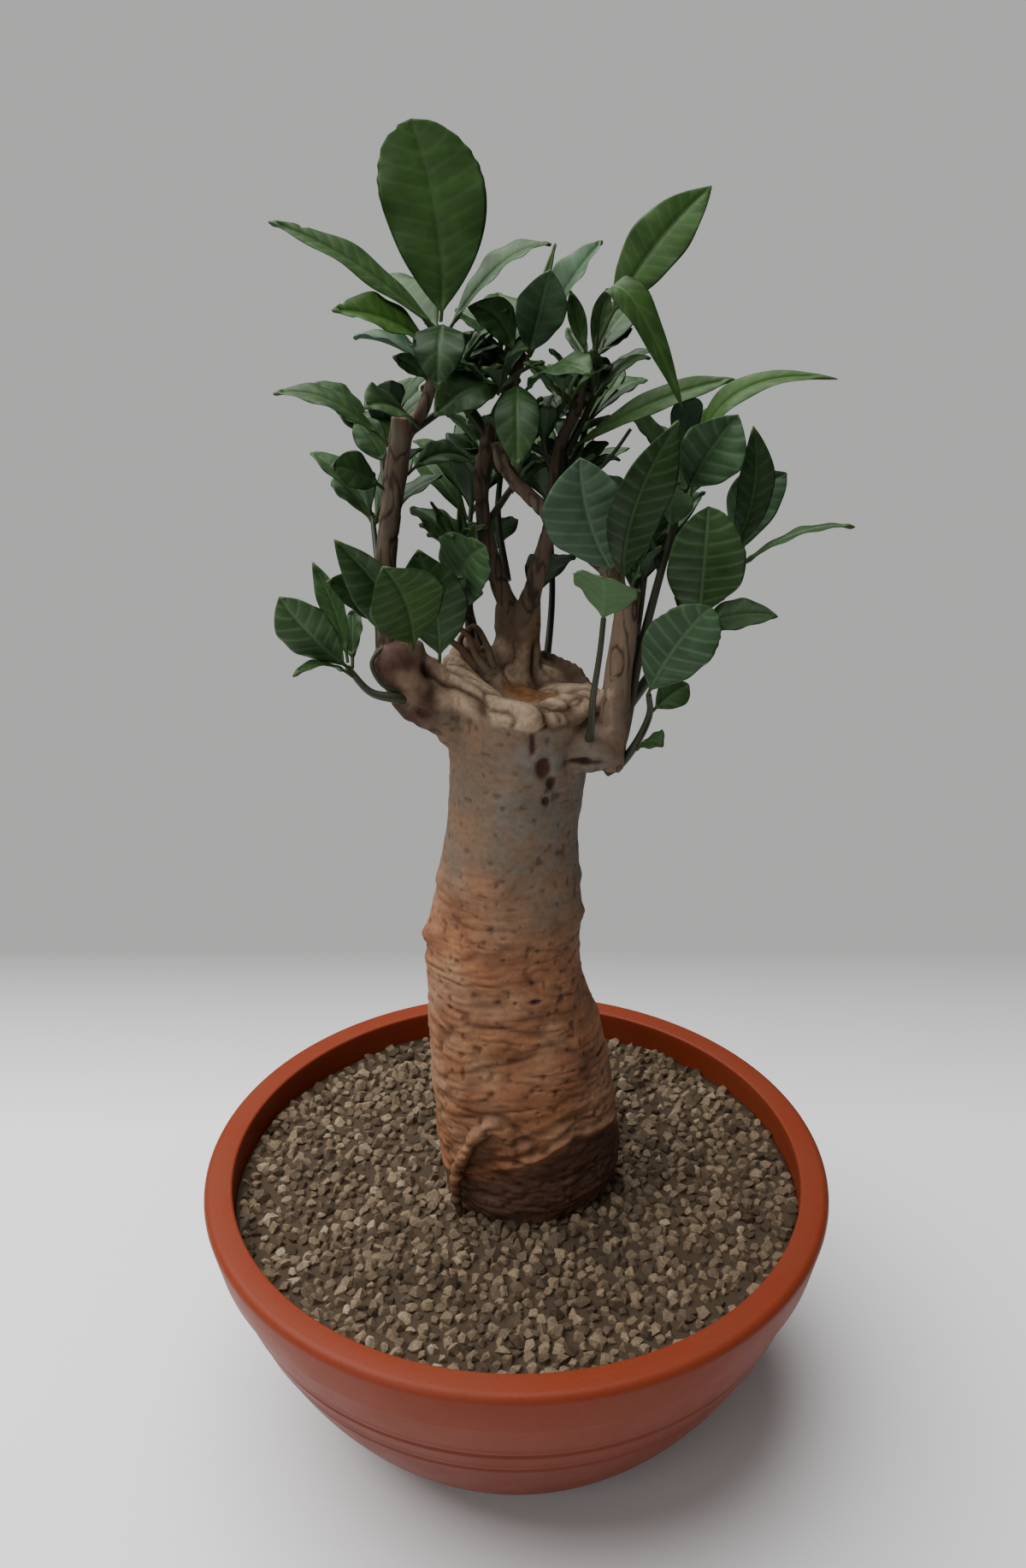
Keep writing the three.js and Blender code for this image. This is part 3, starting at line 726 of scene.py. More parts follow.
def capped_loft(name, rings):
    """A closed piece over rings of the same number of points."""
    sides = len(rings[0])
    points = np.vstack(rings)
    last = len(points) - sides
    faces = skin_faces(len(rings), sides) + [tuple(range(sides))[::-1], tuple(range(last, last + sides))]
    piece = mesh_piece(name, points, faces, None)
    face_outwards(piece)
    return piece


# Knobs on the trunk and its scars: centre, half sizes, and height or depth.
BUMPS = [
    ((-40, -8, 257), (4.5, 8, 5), 4.6),
    ((-38.5, -10, 244), (3.5, 6, 3), 1.8),
    ((-35, -8, 284), (4, 6, 3), 1.6),
    ((29, -8, 268), (4, 7, 4), 2.4),
    ((28, -8, 286), (4, 6, 4), 1.8),
    ((8, -33, 237), (9, 6, 5), 2.2),
    ((-12, -36, 166), (8, 6, 7), 2.6),
    ((14, -27, 345), (9, 6, 10), 2.4),
    ((22, -24, 364), (6, 6, 5), 3.5),
    ((36, -21, 350), (6, 5, 6), 3.0),
    ((43, -19, 344), (5, 6, 5), 2.5),
    ((30, -22, 339), (5, 5, 4), 2.5),
    ((-18, -26, 352), (9, 6, 9), 1.6),
    ((-46, -15, 392), (6, 6, 5), 3.0),
]
SCARS = [
    ((10.5, -28.5, 346), (3, 6, 6), 2.2),
    ((14, -28.5, 338), (2.6, 6, 4.5), 2.4),
    ((17.5, -28.5, 331), (3, 6, 4), 2.0),
    ((12, -28.5, 329), (2, 6, 3), 1.2),
    ((6, -29, 357), (1.7, 5, 6), 0.8),
    ((27, -25, 346), (9, 6, 2), 2.2),
    ((-38, -16, 365), (4.5, 6, 3.5), 2.2),
    ((-35, -18, 385), (5.5, 6, 5), 3.4),
    ((8, -33, 236), (4.5, 5, 1.6), 1.8),
]


def trunk_piece(voxel_mm, wrinkle_mm, material):
    """The trunk above the grit: fused stubs and skin, then its wrinkles, folds and scars."""
    rings = [trunk_ring(row, 96) for row in smooth_rows(TRUNK_STATIONS, 4)]
    top = TRUNK_STATIONS[-1]
    for share, rise in CUT_RINGS:
        ring = trunk_ring((top[0], top[1], top[2], top[3] * share, top[4] * share), 96)
        ring[:, 2] = cut_plane(ring) + rise
        rings.append(ring)
    parts = [capped_loft("trunk_body", rings)]
    parts.append(stem_piece("left_stub", LEFT_STUB, [13.5, 13.5, 12.5, 10, 5], None, 32, 2))
    parts.append(stem_piece("right_stub", RIGHT_STUB, [12, 11, 8, 3], None, 32, 2))
    for i, (path, radii) in enumerate(LIMB_FEET):
        parts.append(stem_piece(f"limb_foot_{i}", path, radii, None, 32, 2))
    root_radii = [1.8, 2.2, 2.5, 2.8, 2.8, 2.6, 2.2, 1.6]
    parts.append(stem_piece("curled_root", CURLED_ROOT, root_radii, None, 20, 1))
    piece = fused(parts, "trunk_skin", voxel_mm, 6)
    points, normals = points_of(piece)
    x, y, z = points.T

    # The sunken wood face is inside the callus roll; both follow the slope of the cut.
    above = z - cut_plane(points)
    reach = np.hypot((x - top[1]) / top[3], (y - top[2]) / top[4])
    on_top = step_up(above, -10, -5) * step_up(reach, 1.4, 1.25)
    slant = (x - top[1] - 4) * 0.84 - (y - top[2] + 4) * 0.54
    athwart = (x - top[1] - 4) * 0.54 + (y - top[2] + 4) * 0.84
    heart = step_up(np.hypot(slant / 15, athwart / 8), 1.1, 0.75)
    heart = heart * step_up(above, -9, -6.5) * step_up(above, 2, -1)
    callus = on_top * (1 - heart) * step_up(above, 15, 8)
    stub = step_up(x, -30, -36) * step_up(z, 340, 352)
    stub_end = stub * step_up((x + 50) * -0.35 + (z - 388) * 0.9, -3.5, 0.5)

    # Cork below, thin skin above, darker where it meets the grit, below a slanting fold.
    border = 276 - 0.25 * x + 30 * (noise(points, 22, 1) - 0.5) + 10 * (noise(points, 7, 2) - 0.5)
    cork = step_up(z, border + 20, border - 20)
    front = step_up(y, 4, -10)
    fold_line = 137 + 0.45 * (np.minimum(x, 26) + 26) - 0.2 * np.maximum(x - 26, 0)
    slope = z - fold_line * front - 134 * (1 - front)
    dark_patch_and_shade = step_up(slope, 3, -3) * 0.92
    damp_spot = bell(points, (-9, -37, 170), (15, 9, 14)) * step_up(noise(points, 6, 27), 0.2, 0.8)
    dark_patch_and_shade = np.maximum(dark_patch_and_shade, 0.6 * damp_spot)
    patchy = step_up(noise(points, (20, 20, 14), 19), 0.25, 0.6)
    wander = np.column_stack([x, y, z + 9 * noise(points, (34, 34, 26), 3)])

    def furrows(size, seed, width):
        level = np.abs(2 * noise(wander, size, seed) - 1)
        return 1 - step_up(level, 0, width)

    broad = furrows((34, 34, 8), 7, 0.13)
    close = furrows((22, 22, 4.4), 8, 0.24)
    fine = furrows((13, 13, 2.4), 9, 0.36)
    pits = step_up(noise(points, 2.6, 10), 0.74, 0.86)
    plain = (1 - callus) * (1 - heart)
    wrinkled = (0.22 + 0.78 * cork) * plain
    rise = -wrinkle_mm * (0.75 * broad + 0.75 * close * patchy + 0.5 * fine) * wrinkled
    swells = 2.4 * (noise(points, (19, 19, 15), 11) - 0.5) + 1.2 * (noise(points, 6, 12) - 0.5)
    rise += swells * (0.45 + 0.55 * cork) * plain
    rise -= 0.7 * pits * (0.4 + 0.6 * cork) * plain

    folds = np.exp(-((slope - 5) / 2.4) ** 2)
    folds = folds + 0.8 * np.exp(-((slope - 12.5) / 2.6) ** 2) + 0.5 * np.exp(-((slope - 20) / 2.4) ** 2)
    near_curl = bell(points, (-20, -37, 158), (14, 8, 26))
    rise += 1.9 * folds * front * (0.4 + 0.9 * noise(points, 16, 13))
    for centre, size, height in BUMPS:
        rise += height * bell(points, centre, size)
    turned_in = np.column_stack([slant, athwart, z]) + 5 * noise(points, 14, 18)[:, None]
    rolls = np.sqrt(np.abs(2 * noise(turned_in, (30, 9, 14), 14) - 1))
    small_rolls = np.sqrt(np.abs(2 * noise(turned_in, (14, 4.6, 8), 15) - 1))
    rise += callus * (5.6 * (rolls - 0.6) + 2.4 * (small_rolls - 0.6))
    for angle in np.radians(np.linspace(5, 150, 19)):
        knob = np.array([top[1] + 29 * math.cos(angle), top[2] + 27 * math.sin(angle), 0])
        knob[2] = cut_plane(knob[None])[0] + 4
        rise += 2.6 * bell(points, knob, (2.1, 2.1, 3.2))
    rise += heart * 1.4 * (noise(points, (3, 3, 8), 16) - 0.5)
    rise += stub * (4.0 * (noise(points, 8, 17) - 0.5) + 2.0 * (noise(points, 3.6, 26) - 0.5))

    scar = np.zeros(len(z))
    for centre, size, depth in SCARS:
        spot = bell(points, centre, size) * (0.65 + 0.7 * noise(points, 3.4, 25))
        rim = bell(points, centre, np.array(size) * 1.5) - spot
        rise += -depth * spot + 1.0 * rim
        scar = np.maximum(scar, step_up(spot, 0.25, 0.6))
    # The crease mask is painted shade: it darkens the sunken furrows, the pits and the hollows between the
    # callus rolls.
    crease = (0.3 * broad + 0.3 * close * patchy + 0.24 * fine) * wrinkled + 0.5 * pits * plain
    crease = np.clip(crease, 0, 0.7)
    between_rolls = np.maximum(0.9 * step_up(rolls, 0.6, 0.15), 0.75 * step_up(small_rolls, 0.55, 0.15))
    crease = np.maximum(crease, callus * between_rolls)
    lichen = step_up(z, 268, 300) * step_up(x, -20, 2) * step_up(z, 372, 355)
    # Painted shade round the curled root.
    dark_patch_and_shade = np.maximum(dark_patch_and_shade, 0.5 * step_up(near_curl, 0.35, 0.7) * step_up(noise(points, 5, 28), 0.3, 0.7))
    moved = points + normals * rise[:, None]
    callus = np.maximum(callus, 0.75 * stub_end)
    scar = np.maximum(scar, 0.85 * stub * step_up(noise(points, 8, 24), 0.15, 0.7))
    carve(piece, moved, material, {
        "cork": cork, "dark_patch_and_shade": dark_patch_and_shade, "callus": callus, "heart": heart,
        "scar": scar, "crease": crease, "lichen": lichen})
    return piece


# ---- Limbs and shoots -------------------------------------------------------------------

# Each limb or shoot is one or more stems: path and the radii it goes through.
LIMBS = {
    "left_limb": [
        ([(-50, -8, 384), (-52, -8, 392), (-53, -8, 410), (-52, -8, 432), (-48, -7, 458), (-44, -6, 482)],
         [8, 6, 5, 4.6, 4.6, 4.6]),
        ([(-45, -6, 474), (-37, -5, 484), (-32, -3, 498), (-28, -4, 514)], [3.6, 2.8, 2]),
    ],
    "centre_limb": [
        ([(-2, 24, 366), (-1, 18, 392), (-7, 15, 410), (-13, 12, 434), (-15, 9, 460)], [7.5, 4.6, 3.6, 2.9]),
        ([(-15, 9, 456), (-11, 7, 476), (-3, 5, 492), (3, 4, 505)], [2.9, 2.1, 1.6]),
        ([(0, 19, 384), (7, 12, 410), (14, 8, 440), (17, 6, 468), (24, 5, 486), (28, 4, 502)],
         [5.2, 3.4, 2.6, 1.6]),
    ],
    "right_limb": [
        ([(38, -14, 340), (39, -14, 350), (41, -13, 370), (43, -12, 394), (45, -11, 416)],
         [7, 6.4, 5.6, 5.2]),
        ([(44, -11, 406), (36, -12, 424), (16, -9, 442), (-3, -4, 460), (-8, -3, 472)], [3.8, 3.6, 3.2, 2.4]),
    ],
}
SHOOTS = {
    "back_shoot": [([(-18, 12, 364), (-19, 14, 372), (-20, 16, 392), (-21, 18, 420)], [3, 2.6, 2.0, 1.6])],
    "right_shoot": [([(40, -6, 342), (45, -6, 350), (50, -7, 384), (56, -8, 414), (62, -11, 442),
                      (65, -12, 456)],
                     [2.4, 2.0, 1.6, 1.2])],
    "outer_shoot": [([(34, 2, 342), (40, 2, 350), (56, -1, 376), (70, -6, 398), (80, -6, 414), (87, -4, 426)],
                     [2.6, 2.4, 1.9, 1.4])],
    "front_shoot": [([(29, -20, 352), (30, -26, 362), (30, -36, 378), (32, -40, 398), (33, -41, 412)],
                     [1.8, 1.5, 1.2, 1.1])],
    "lower_shoot": [([(38, -10, 336), (44, -12, 341), (50, -16, 352), (54, -22, 366), (53, -26, 376)],
                     [2.2, 2, 1.5, 1.2])],
    "left_shoot": [([(-44, -14, 370), (-50, -18, 372), (-60, -19, 375), (-69, -17, 385)],
                    [2.4, 2.2, 1.6, 1.2])],
}


# How pale the bark is at some heights.
PALE = {
    "left_limb": ([390, 480], [0.3, 0.2]),
    "centre_limb": ([375, 400, 440], [0.9, 0.75, 0.1]),
    "right_limb": ([350, 405, 425], [0.95, 0.8, 0.3]),
}
CUT_ENDS = {"left_limb": ((-44, -7, 486), 5.5), "right_limb": ((45, -11, 419), 4.5)}


def ribbed(piece, material, rib_mm):
    """Gives a fused limb its lengthwise ribs, cracks and pale cut ends."""
    points, normals = points_of(piece)
    ribs = noise(points, (3.4, 3.4, 26), 21)
    cracks = 1 - step_up(np.abs(2 * noise(points, (2.6, 2.6, 11), 22) - 1), 0, 0.25)
    rise = rib_mm * (2 * ribs - 1) + 0.5 * (noise(points, 7, 23) - 0.5) - 0.35 * cracks
    cut = np.zeros(len(points))
    name = piece.name.removesuffix("_finish")
    if name in CUT_ENDS:
        place, size = CUT_ENDS[name]
        cut = step_up(bell(points, place, (size, size, size)), 0.3, 0.7)
    # The cracks carry painted shade.
    carve(piece, points + normals * rise[:, None], material, {
        "crease": 0.8 * cracks, "cut": cut, "pale": np.interp(points[:, 2], *PALE[name])})


# ---- Leaves -----------------------------------------------------------------------------

# Name, place on the twig, tip, width, the way the upper face looks, how far the middle
# bows away from the straight line, fold in degrees, and where the blade is widest.
LEAVES = [
    # Left top whorl
    ("leaf_tall", (-28, -5, 517), (-38, -6, 586), 39, (0, -1, 0.1), (4, -1, 0), 6, 0.66),
    ("leaf_top_left", (-29, -7, 514), (-89, -20, 552), 20, (0.2, -0.45, 1), (-1, 0, 5), 14, 0.42),
    ("leaf_top_right", (-27, 0, 514), (13, 10, 544), 19, (-0.4, -0.4, 1), (0, -2, 7), 20, 0.55),
    ("leaf_bright", (-31, -8, 508), (-66, -34, 523), 22, (0.2, -0.7, 1), (2, -2, 3), 20, 0.5),
    ("leaf_grey_edge", (-33, 2, 500), (-64, 12, 510), 16, (0.2, -0.2, 1), (0, 0, 3), 30, 0.5),
    ("leaf_dark_hanging", (-28, -7, 518), (-29, -31, 495), 20, (0, -1, 0.5), (0, -5, 5), 10, 0.5),
    # Middle whorl
    ("leaf_spoon", (4, 0, 503), (12, -18, 536), 21, (0, -1, -0.4), (0, 3, 0), 25, 0.62),
    ("leaf_middle_left", (1, 6, 503), (-19, 3, 522), 15, (-0.2, -1, 0.6), (2, 0, 5), 20, 0.5),
    ("leaf_blue_right", (5, 8, 504), (33, 20, 545), 20, (-0.6, -0.6, 1), (0, 0, 3), 30, 0.55),
    # Right top whorl
    ("leaf_right_tall", (29, 5, 505), (71, -2, 564), 22, (-0.3, -1, 0.2), (-3, -1, 3), 15, 0.52),
    ("leaf_right_drooping", (28, 1, 505), (62, -22, 487), 16, (0.6, -1, 0.6), (-8, 0, 34), 12, 0.5),
    ("leaf_narrow_left", (27, 3, 503), (20, 2, 528), 8, (0, -1, 0), (0, 1, 0), 30, 0.55),
    ("leaf_narrow_right", (29, 8, 503), (35, 16, 528), 9, (0, -1, 0), (0, 1, 0), 30, 0.55),
    # Dark middle
    ("leaf_inner_left", (-2, 8, 492), (-24, 30, 505), 18, (0, -0.6, 1), (0, 0, 4), 15, 0.55),
    ("leaf_inner_arch", (2, -1, 492), (27, -28, 500), 24, (0.2, -0.6, 1), (0, -2, 6), 10, 0.55),
    ("leaf_inner_hanging", (0, -2, 496), (0, -28, 466), 18, (0, -1, 0.6), (0, -4, 5), 10, 0.55),
    ("leaf_inner_low_left", (-5, 2, 494), (-31, -24, 485), 20, (0, -1, 0.8), (0, -3, 4), 15, 0.55),
    ("leaf_inner_back", (20, 9, 478), (30, 40, 484), 24, (0, 0.3, 1), (0, 0, 5), 15, 0.55),
    # Left limb
    ("leaf_limb_left", (-50, -9, 474), (-92, -16, 492), 17, (0.1, -0.35, 1), (0, 0, 6), 12, 0.45),
    ("leaf_limb_dark", (-38, -8, 480), (-56, -32, 489), 22, (-0.2, -1, 1), (0, -2, 4), 15, 0.5),
    ("leaf_limb_small", (-50, -3, 462), (-64, 10, 479), 14, (-0.4, -1, 0.6), (0, 0, 2), 20, 0.5),
    ("leaf_limb_half", (-52, -9, 456), (-71, -22, 466), 16, (0, -1, 0.7), (0, -1, 2), 15, 0.5),
    ("leaf_limb_inner", (-43, -3, 462), (-17, 20, 460), 16, (0, -0.7, 1), (0, 0, 5), 15, 0.6),
    # Left stub
    ("leaf_stub_tall", (-43, -17, 396), (-68, -44, 443), 24, (-0.2, -1, 0.4), (3, -4, 2), 30, 0.45),
    ("leaf_stub_front", (-41, -20, 394), (-49, -58, 436), 32, (0.1, -1, 0.4), (3, -4, 4), 20, 0.55),
    ("leaf_stub_side", (-54, -12, 400), (-73, -36, 425), 15, (0, -1, 0.8), (0, 0, 4), 20, 0.5),
    ("leaf_veined_left", (-68, -18, 384), (-92, -32, 418), 22, (-0.3, -1, 0.3), (-1, -2, 0), 10, 0.6),
    ("leaf_upright_left", (-68, -15, 386), (-83, 0, 424), 12, (-0.2, -1, 0.2), (2, 0, 0), 30, 0.55),
    ("leaf_edge_left", (-67, -19, 384), (-88, -36, 387), 10, (0, 0, 1), (0, 0, 4), 10, 0.5),
    ("leaf_twig_inner", (-67, -14, 384), (-68, 4, 403), 12, (-0.4, -1, 0.2), (0, 0, 1), 20, 0.55),
    # Left of the cut
    ("leaf_crenate", (-22, 12, 402), (-12, -24, 436), 30, (0, -1, 0.7), (-5, -1, 3), 15, 0.62),
    ("leaf_deep_green", (-31, -12, 386), (-38, -30, 436), 28, (-0.1, -1, 0.3), (2, 0, 2), 15, 0.5),
    # Front shoot
    ("leaf_front_bright", (33, -41, 411), (31, -66, 434), 26, (0, -0.8, 1), (0, -2, 3), 10, 0.62),
    # Right side
    ("leaf_broad_veined", (38, -16, 422), (23, -38, 472), 36, (-0.2, -1, 0.1), (-3, -1, 0), 15, 0.55),
    ("leaf_broad_dark", (41, -18, 420), (58, -42, 486), 25, (0.4, -1, 0.2), (-6, -10, 1), 20, 0.55),
    ("leaf_folded_blue", (65, -12, 454), (83, -20, 485), 29, (0.1, -1, 0.2), (-1, -2, 1), 30, 0.55),
    ("leaf_long_bright", (66, -8, 455), (121, -12, 497), 13, (-0.2, -0.6, 1), (-12, 3, 13), 16, 0.5),
    ("leaf_long_arch", (21, 8, 468), (85, 6, 495), 13, (-0.2, -0.8, 1), (0, 0, 4), 15, 0.6),
    ("leaf_small_bright", (61, -13, 440), (56, -33, 461), 20, (0, -0.5, 1), (0, -1, 2), 10, 0.62),
    ("leaf_dark_veined", (46, -5, 414), (63, 12, 447), 20, (-0.3, -1, 0.3), (0, 2, 1), 20, 0.55),
    ("leaf_large_folded", (74, -8, 402), (72, -32, 453), 34, (0, -1, 0.2), (0, -2, 0), 25, 0.55),
    ("leaf_outer_dark", (86, -5, 426), (90, -14, 480), 16, (0.2, -1, 0.1), (4, -2, 0), 20, 0.55),
    ("leaf_outer_blue", (87, -3, 426), (111, 22, 456), 24, (0.3, -1, 0.4), (-5, 3, 3), 20, 0.55),
    ("leaf_outer_arch", (88, -4, 423), (134, -8, 440), 14, (0, 0, 1), (0, 0, 5), 10, 0.5),
    # Right foot of the crown
    ("leaf_low_veined", (52, -26, 376), (73, -46, 418), 28, (0.1, -1, 0.4), (-2, -3, 2), 15, 0.6),
    ("leaf_low_dark", (54, -22, 367), (71, -10, 375), 14, (0, -1, 0.6), (0, 0, 1), 15, 0.55),
    ("leaf_low_pointed", (71, -5, 397), (105, -14, 405), 16, (0, -0.8, 1), (0, 0, 3), 15, 0.45),
    ("leaf_low_small", (50, -17, 351), (59, -31, 356), 12, (0, -0.8, 1), (0, 0, 2), 15, 0.6),
]

# Leaves too small for the frame, and those on the far side of the crown.
YOUNG_LEAVES = [
    ("young_left", (-33, -2, 495), (-47, -10, 505), 8, (0, -1, 0.6), (0, 0, 1), 20, 0.55),
    ("young_spike", (4, 8, 505), (15, 26, 544), 4, (0, -1, 0), (0, 0, 1), 25, 0.5),
    ("young_right", (30, 6, 503), (46, 28, 512), 8, (0, -0.6, 1), (0, 0, 1), 20, 0.5),
    ("young_back", (28, 8, 500), (20, 30, 512), 8, (0, -0.6, 1), (0, 0, 1), 20, 0.5),
    ("young_grey_one", (-21, 18, 418), (-35, 8, 447), 5, (0, -1, 0.3), (0, 0, 1), 20, 0.4),
    ("young_grey_two", (-21, 18, 418), (-23, -8, 450), 5, (0, -1, 0.6), (0, 0, 2), 20, 0.4),
    ("young_grey_three", (-20, 17, 412), (-17, -14, 442), 5, (0, -1, 0.8), (0, 0, 2), 20, 0.4),
    ("far_top_left", (-29, 0, 512), (-56, 36, 532), 22, (-0.2, 0.2, 1), (0, 2, 4), 15, 0.55),
    ("far_top_middle", (2, 6, 500), (-8, 48, 524), 22, (0, 0.3, 1), (0, 2, 4), 15, 0.55),
    ("far_top_right", (29, 7, 502), (54, 44, 522), 22, (0.2, 0.2, 1), (0, 2, 4), 15, 0.55),
    ("far_upper_left", (-47, -3, 468), (-72, 34, 478), 20, (-0.2, 0.3, 1), (0, 2, 4), 15, 0.55),
    ("far_middle", (-14, 12, 452), (-22, 56, 466), 24, (0, 0.3, 1), (0, 2, 5), 15, 0.55),
    ("far_middle_right", (18, 10, 468), (36, 56, 470), 24, (0, 0.3, 1), (0, 2, 5), 15, 0.55),
    ("far_shoot_left", (-21, 20, 418), (-46, 50, 436), 22, (-0.2, 0.4, 1), (0, 2, 4), 15, 0.55),
    ("far_shoot_right", (-20, 20, 412), (-2, 58, 430), 22, (0.1, 0.4, 1), (0, 2, 4), 15, 0.55),
    ("far_shoot_low", (-19, 17, 396), (-38, 54, 398), 20, (-0.1, 0.5, 1), (0, 1, 5), 15, 0.55),
    ("far_right", (46, -6, 412), (62, 38, 424), 24, (0.1, 0.3, 1), (0, 2, 5), 15, 0.55),
    ("far_right_high", (63, -7, 446), (82, 32, 464), 22, (0.1, 0.3, 1), (0, 2, 4), 15, 0.55),
    ("far_right_low", (70, -3, 398), (84, 38, 396), 22, (0.1, 0.3, 1), (0, 2, 5), 15, 0.55),
    ("far_left_low", (-52, -3, 396), (-78, 34, 408), 20, (-0.2, 0.3, 1), (0, 2, 5), 15, 0.55),
    ("far_centre_low", (6, 16, 404), (22, 60, 412), 22, (0.1, 0.4, 1), (0, 2, 5), 15, 0.55),
]

# Leafy twigs inside the crown and behind it: path, leaves, their length and width.
SPRIGS = [
    ([(-14, 12, 446), (-11, 13, 460), (-8, 14, 472)], 6, 24, 10),
    ([(16, 8, 452), (12, 12, 466), (10, 14, 478)], 6, 24, 10),
    ([(-42, -4, 476), (-32, 2, 482), (-22, 6, 488)], 6, 26, 11),
    ([(20, 8, 466), (26, 12, 478), (30, 14, 488)], 5, 26, 10),
    ([(0, 6, 494), (-4, 14, 500), (-8, 20, 506)], 6, 26, 11),
    ([(-10, 8, 470), (-16, 6, 478), (-20, 2, 484)], 5, 22, 9),
    ([(14, 8, 444), (20, 14, 450), (28, 18, 458)], 5, 24, 10),
    ([(-2, 6, 488), (-6, 0, 492), (-12, -6, 494)], 6, 22, 9),
    ([(24, 6, 484), (20, 0, 488), (16, -6, 492)], 5, 20, 8),
    ([(-36, -2, 492), (-30, 6, 496), (-22, 12, 500)], 6, 24, 10),
    ([(18, 8, 462), (6, 16, 468), (-2, 20, 470)], 7, 22, 9),
    ([(-13, 12, 436), (-4, 18, 448), (2, 20, 456)], 6, 20, 8),
    ([(-21, 18, 416), (-24, 8, 424), (-26, 0, 430)], 7, 20, 8),
    ([(-20, 16, 396), (-26, 4, 402), (-30, -4, 408)], 6, 22, 9),
    ([(48, -8, 400), (50, -2, 412), (50, 4, 424)], 6, 24, 10),
    ([(58, -8, 422), (54, -4, 434), (50, 0, 446)], 6, 24, 10),
    ([(-12, 24, 366), (-22, 46, 400), (-20, 62, 436)], 7, 44, 19),
    ([(12, 24, 362), (16, 52, 398), (14, 68, 440)], 7, 46, 20),
    ([(-4, 17, 412), (-8, 34, 436), (-6, 46, 458)], 6, 36, 15),
    ([(16, 8, 456), (26, 32, 464), (30, 44, 476)], 6, 38, 16),
    ([(40, 4, 346), (52, 34, 376), (58, 50, 414)], 7, 44, 19),
    ([(-50, -2, 398), (-58, 20, 416), (-62, 38, 436)], 6, 38, 16),
    ([(-50, -4, 446), (-54, 14, 458), (-56, 30, 470)], 6, 36, 15),
    ([(60, -8, 436), (66, 14, 446), (68, 30, 458)], 5, 38, 16),
]

# Brightness, bluish bloom and strength of the veins, where they differ from the usual; the inner leaves' low
# brightness is painted shade inside the crown.
USUAL_LOOK = (0.26, 0.15, 0.25)
LOOKS = {
    "leaf_tall": (0.42, 0.15, 0.2), "leaf_top_left": (0.3, 0.1, 0.3), "leaf_top_right": (0.3, 0.25, 0.2),
    "leaf_bright": (0.42, 0.0, 0.2), "leaf_grey_edge": (0.4, 0.7, 0.3),
    "leaf_dark_hanging": (0.08, 0.1, 0.3), "leaf_spoon": (0.3, 0.45, 0.4),
    "leaf_blue_right": (0.36, 0.55, 0.3), "leaf_right_tall": (0.42, 0.12, 0.25),
    "leaf_right_drooping": (0.3, 0.05, 0.2), "leaf_inner_left": (0.06, 0.1, 0.2),
    "leaf_inner_back": (0.06, 0.1, 0.2), "leaf_inner_hanging": (0.16, 0.1, 0.3),
    "leaf_stub_tall": (0.34, 0.25, 0.6), "leaf_stub_front": (0.4, 0.15, 0.6),
    "leaf_veined_left": (0.42, 0.3, 0.9), "leaf_crenate": (0.4, 0.35, 0.8),
    "leaf_deep_green": (0.24, 0.1, 0.6), "leaf_front_bright": (0.8, 0.0, 0.6),
    "leaf_broad_veined": (0.45, 0.8, 1.0), "leaf_broad_dark": (0.22, 0.1, 0.6),
    "leaf_folded_blue": (0.4, 0.45, 0.9), "leaf_long_bright": (0.4, 0.0, 0.2),
    "leaf_small_bright": (0.8, 0.0, 0.5), "leaf_long_arch": (0.4, 0.1, 0.2),
    "leaf_dark_veined": (0.2, 0.2, 0.9), "leaf_large_folded": (0.4, 0.2, 1.0),
    "leaf_outer_blue": (0.42, 0.6, 0.6), "leaf_outer_dark": (0.16, 0.1, 0.3),
    "leaf_low_veined": (0.34, 0.45, 0.9), "young_spike": (0.6, 0.3, 0.2),
    "young_grey_one": (0.6, 0.5, 0.2), "young_grey_two": (0.6, 0.5, 0.2),
    "young_grey_three": (0.6, 0.5, 0.2),
}

# Notches in the margin: name, and rows of (side, share along the blade, width, depth).
NOTCHES = {
    "leaf_tall": [(-1, 0.965, 0.014, 0.25)],
    "leaf_top_left": [(1, 0.8, 0.02, 0.3)],
    "leaf_bright": [(-1, 0.82, 0.025, 0.3), (1, 0.9, 0.02, 0.3)],
    "leaf_crenate": [(-1, 0.93, 0.015, 0.2), (1, 0.94, 0.015, 0.2)],
}

BLUNT = (
    "leaf_tall", "leaf_crenate", "leaf_front_bright", "leaf_small_bright", "leaf_low_veined",
    "leaf_large_folded")
TWIG_CLEARANCE = 3.2
STALK_SHARE = 0.01
LONG_STALKS = {"leaf_right_tall": 0.2, "leaf_right_drooping": 0.2}
STALK_WIDTH = 1.5


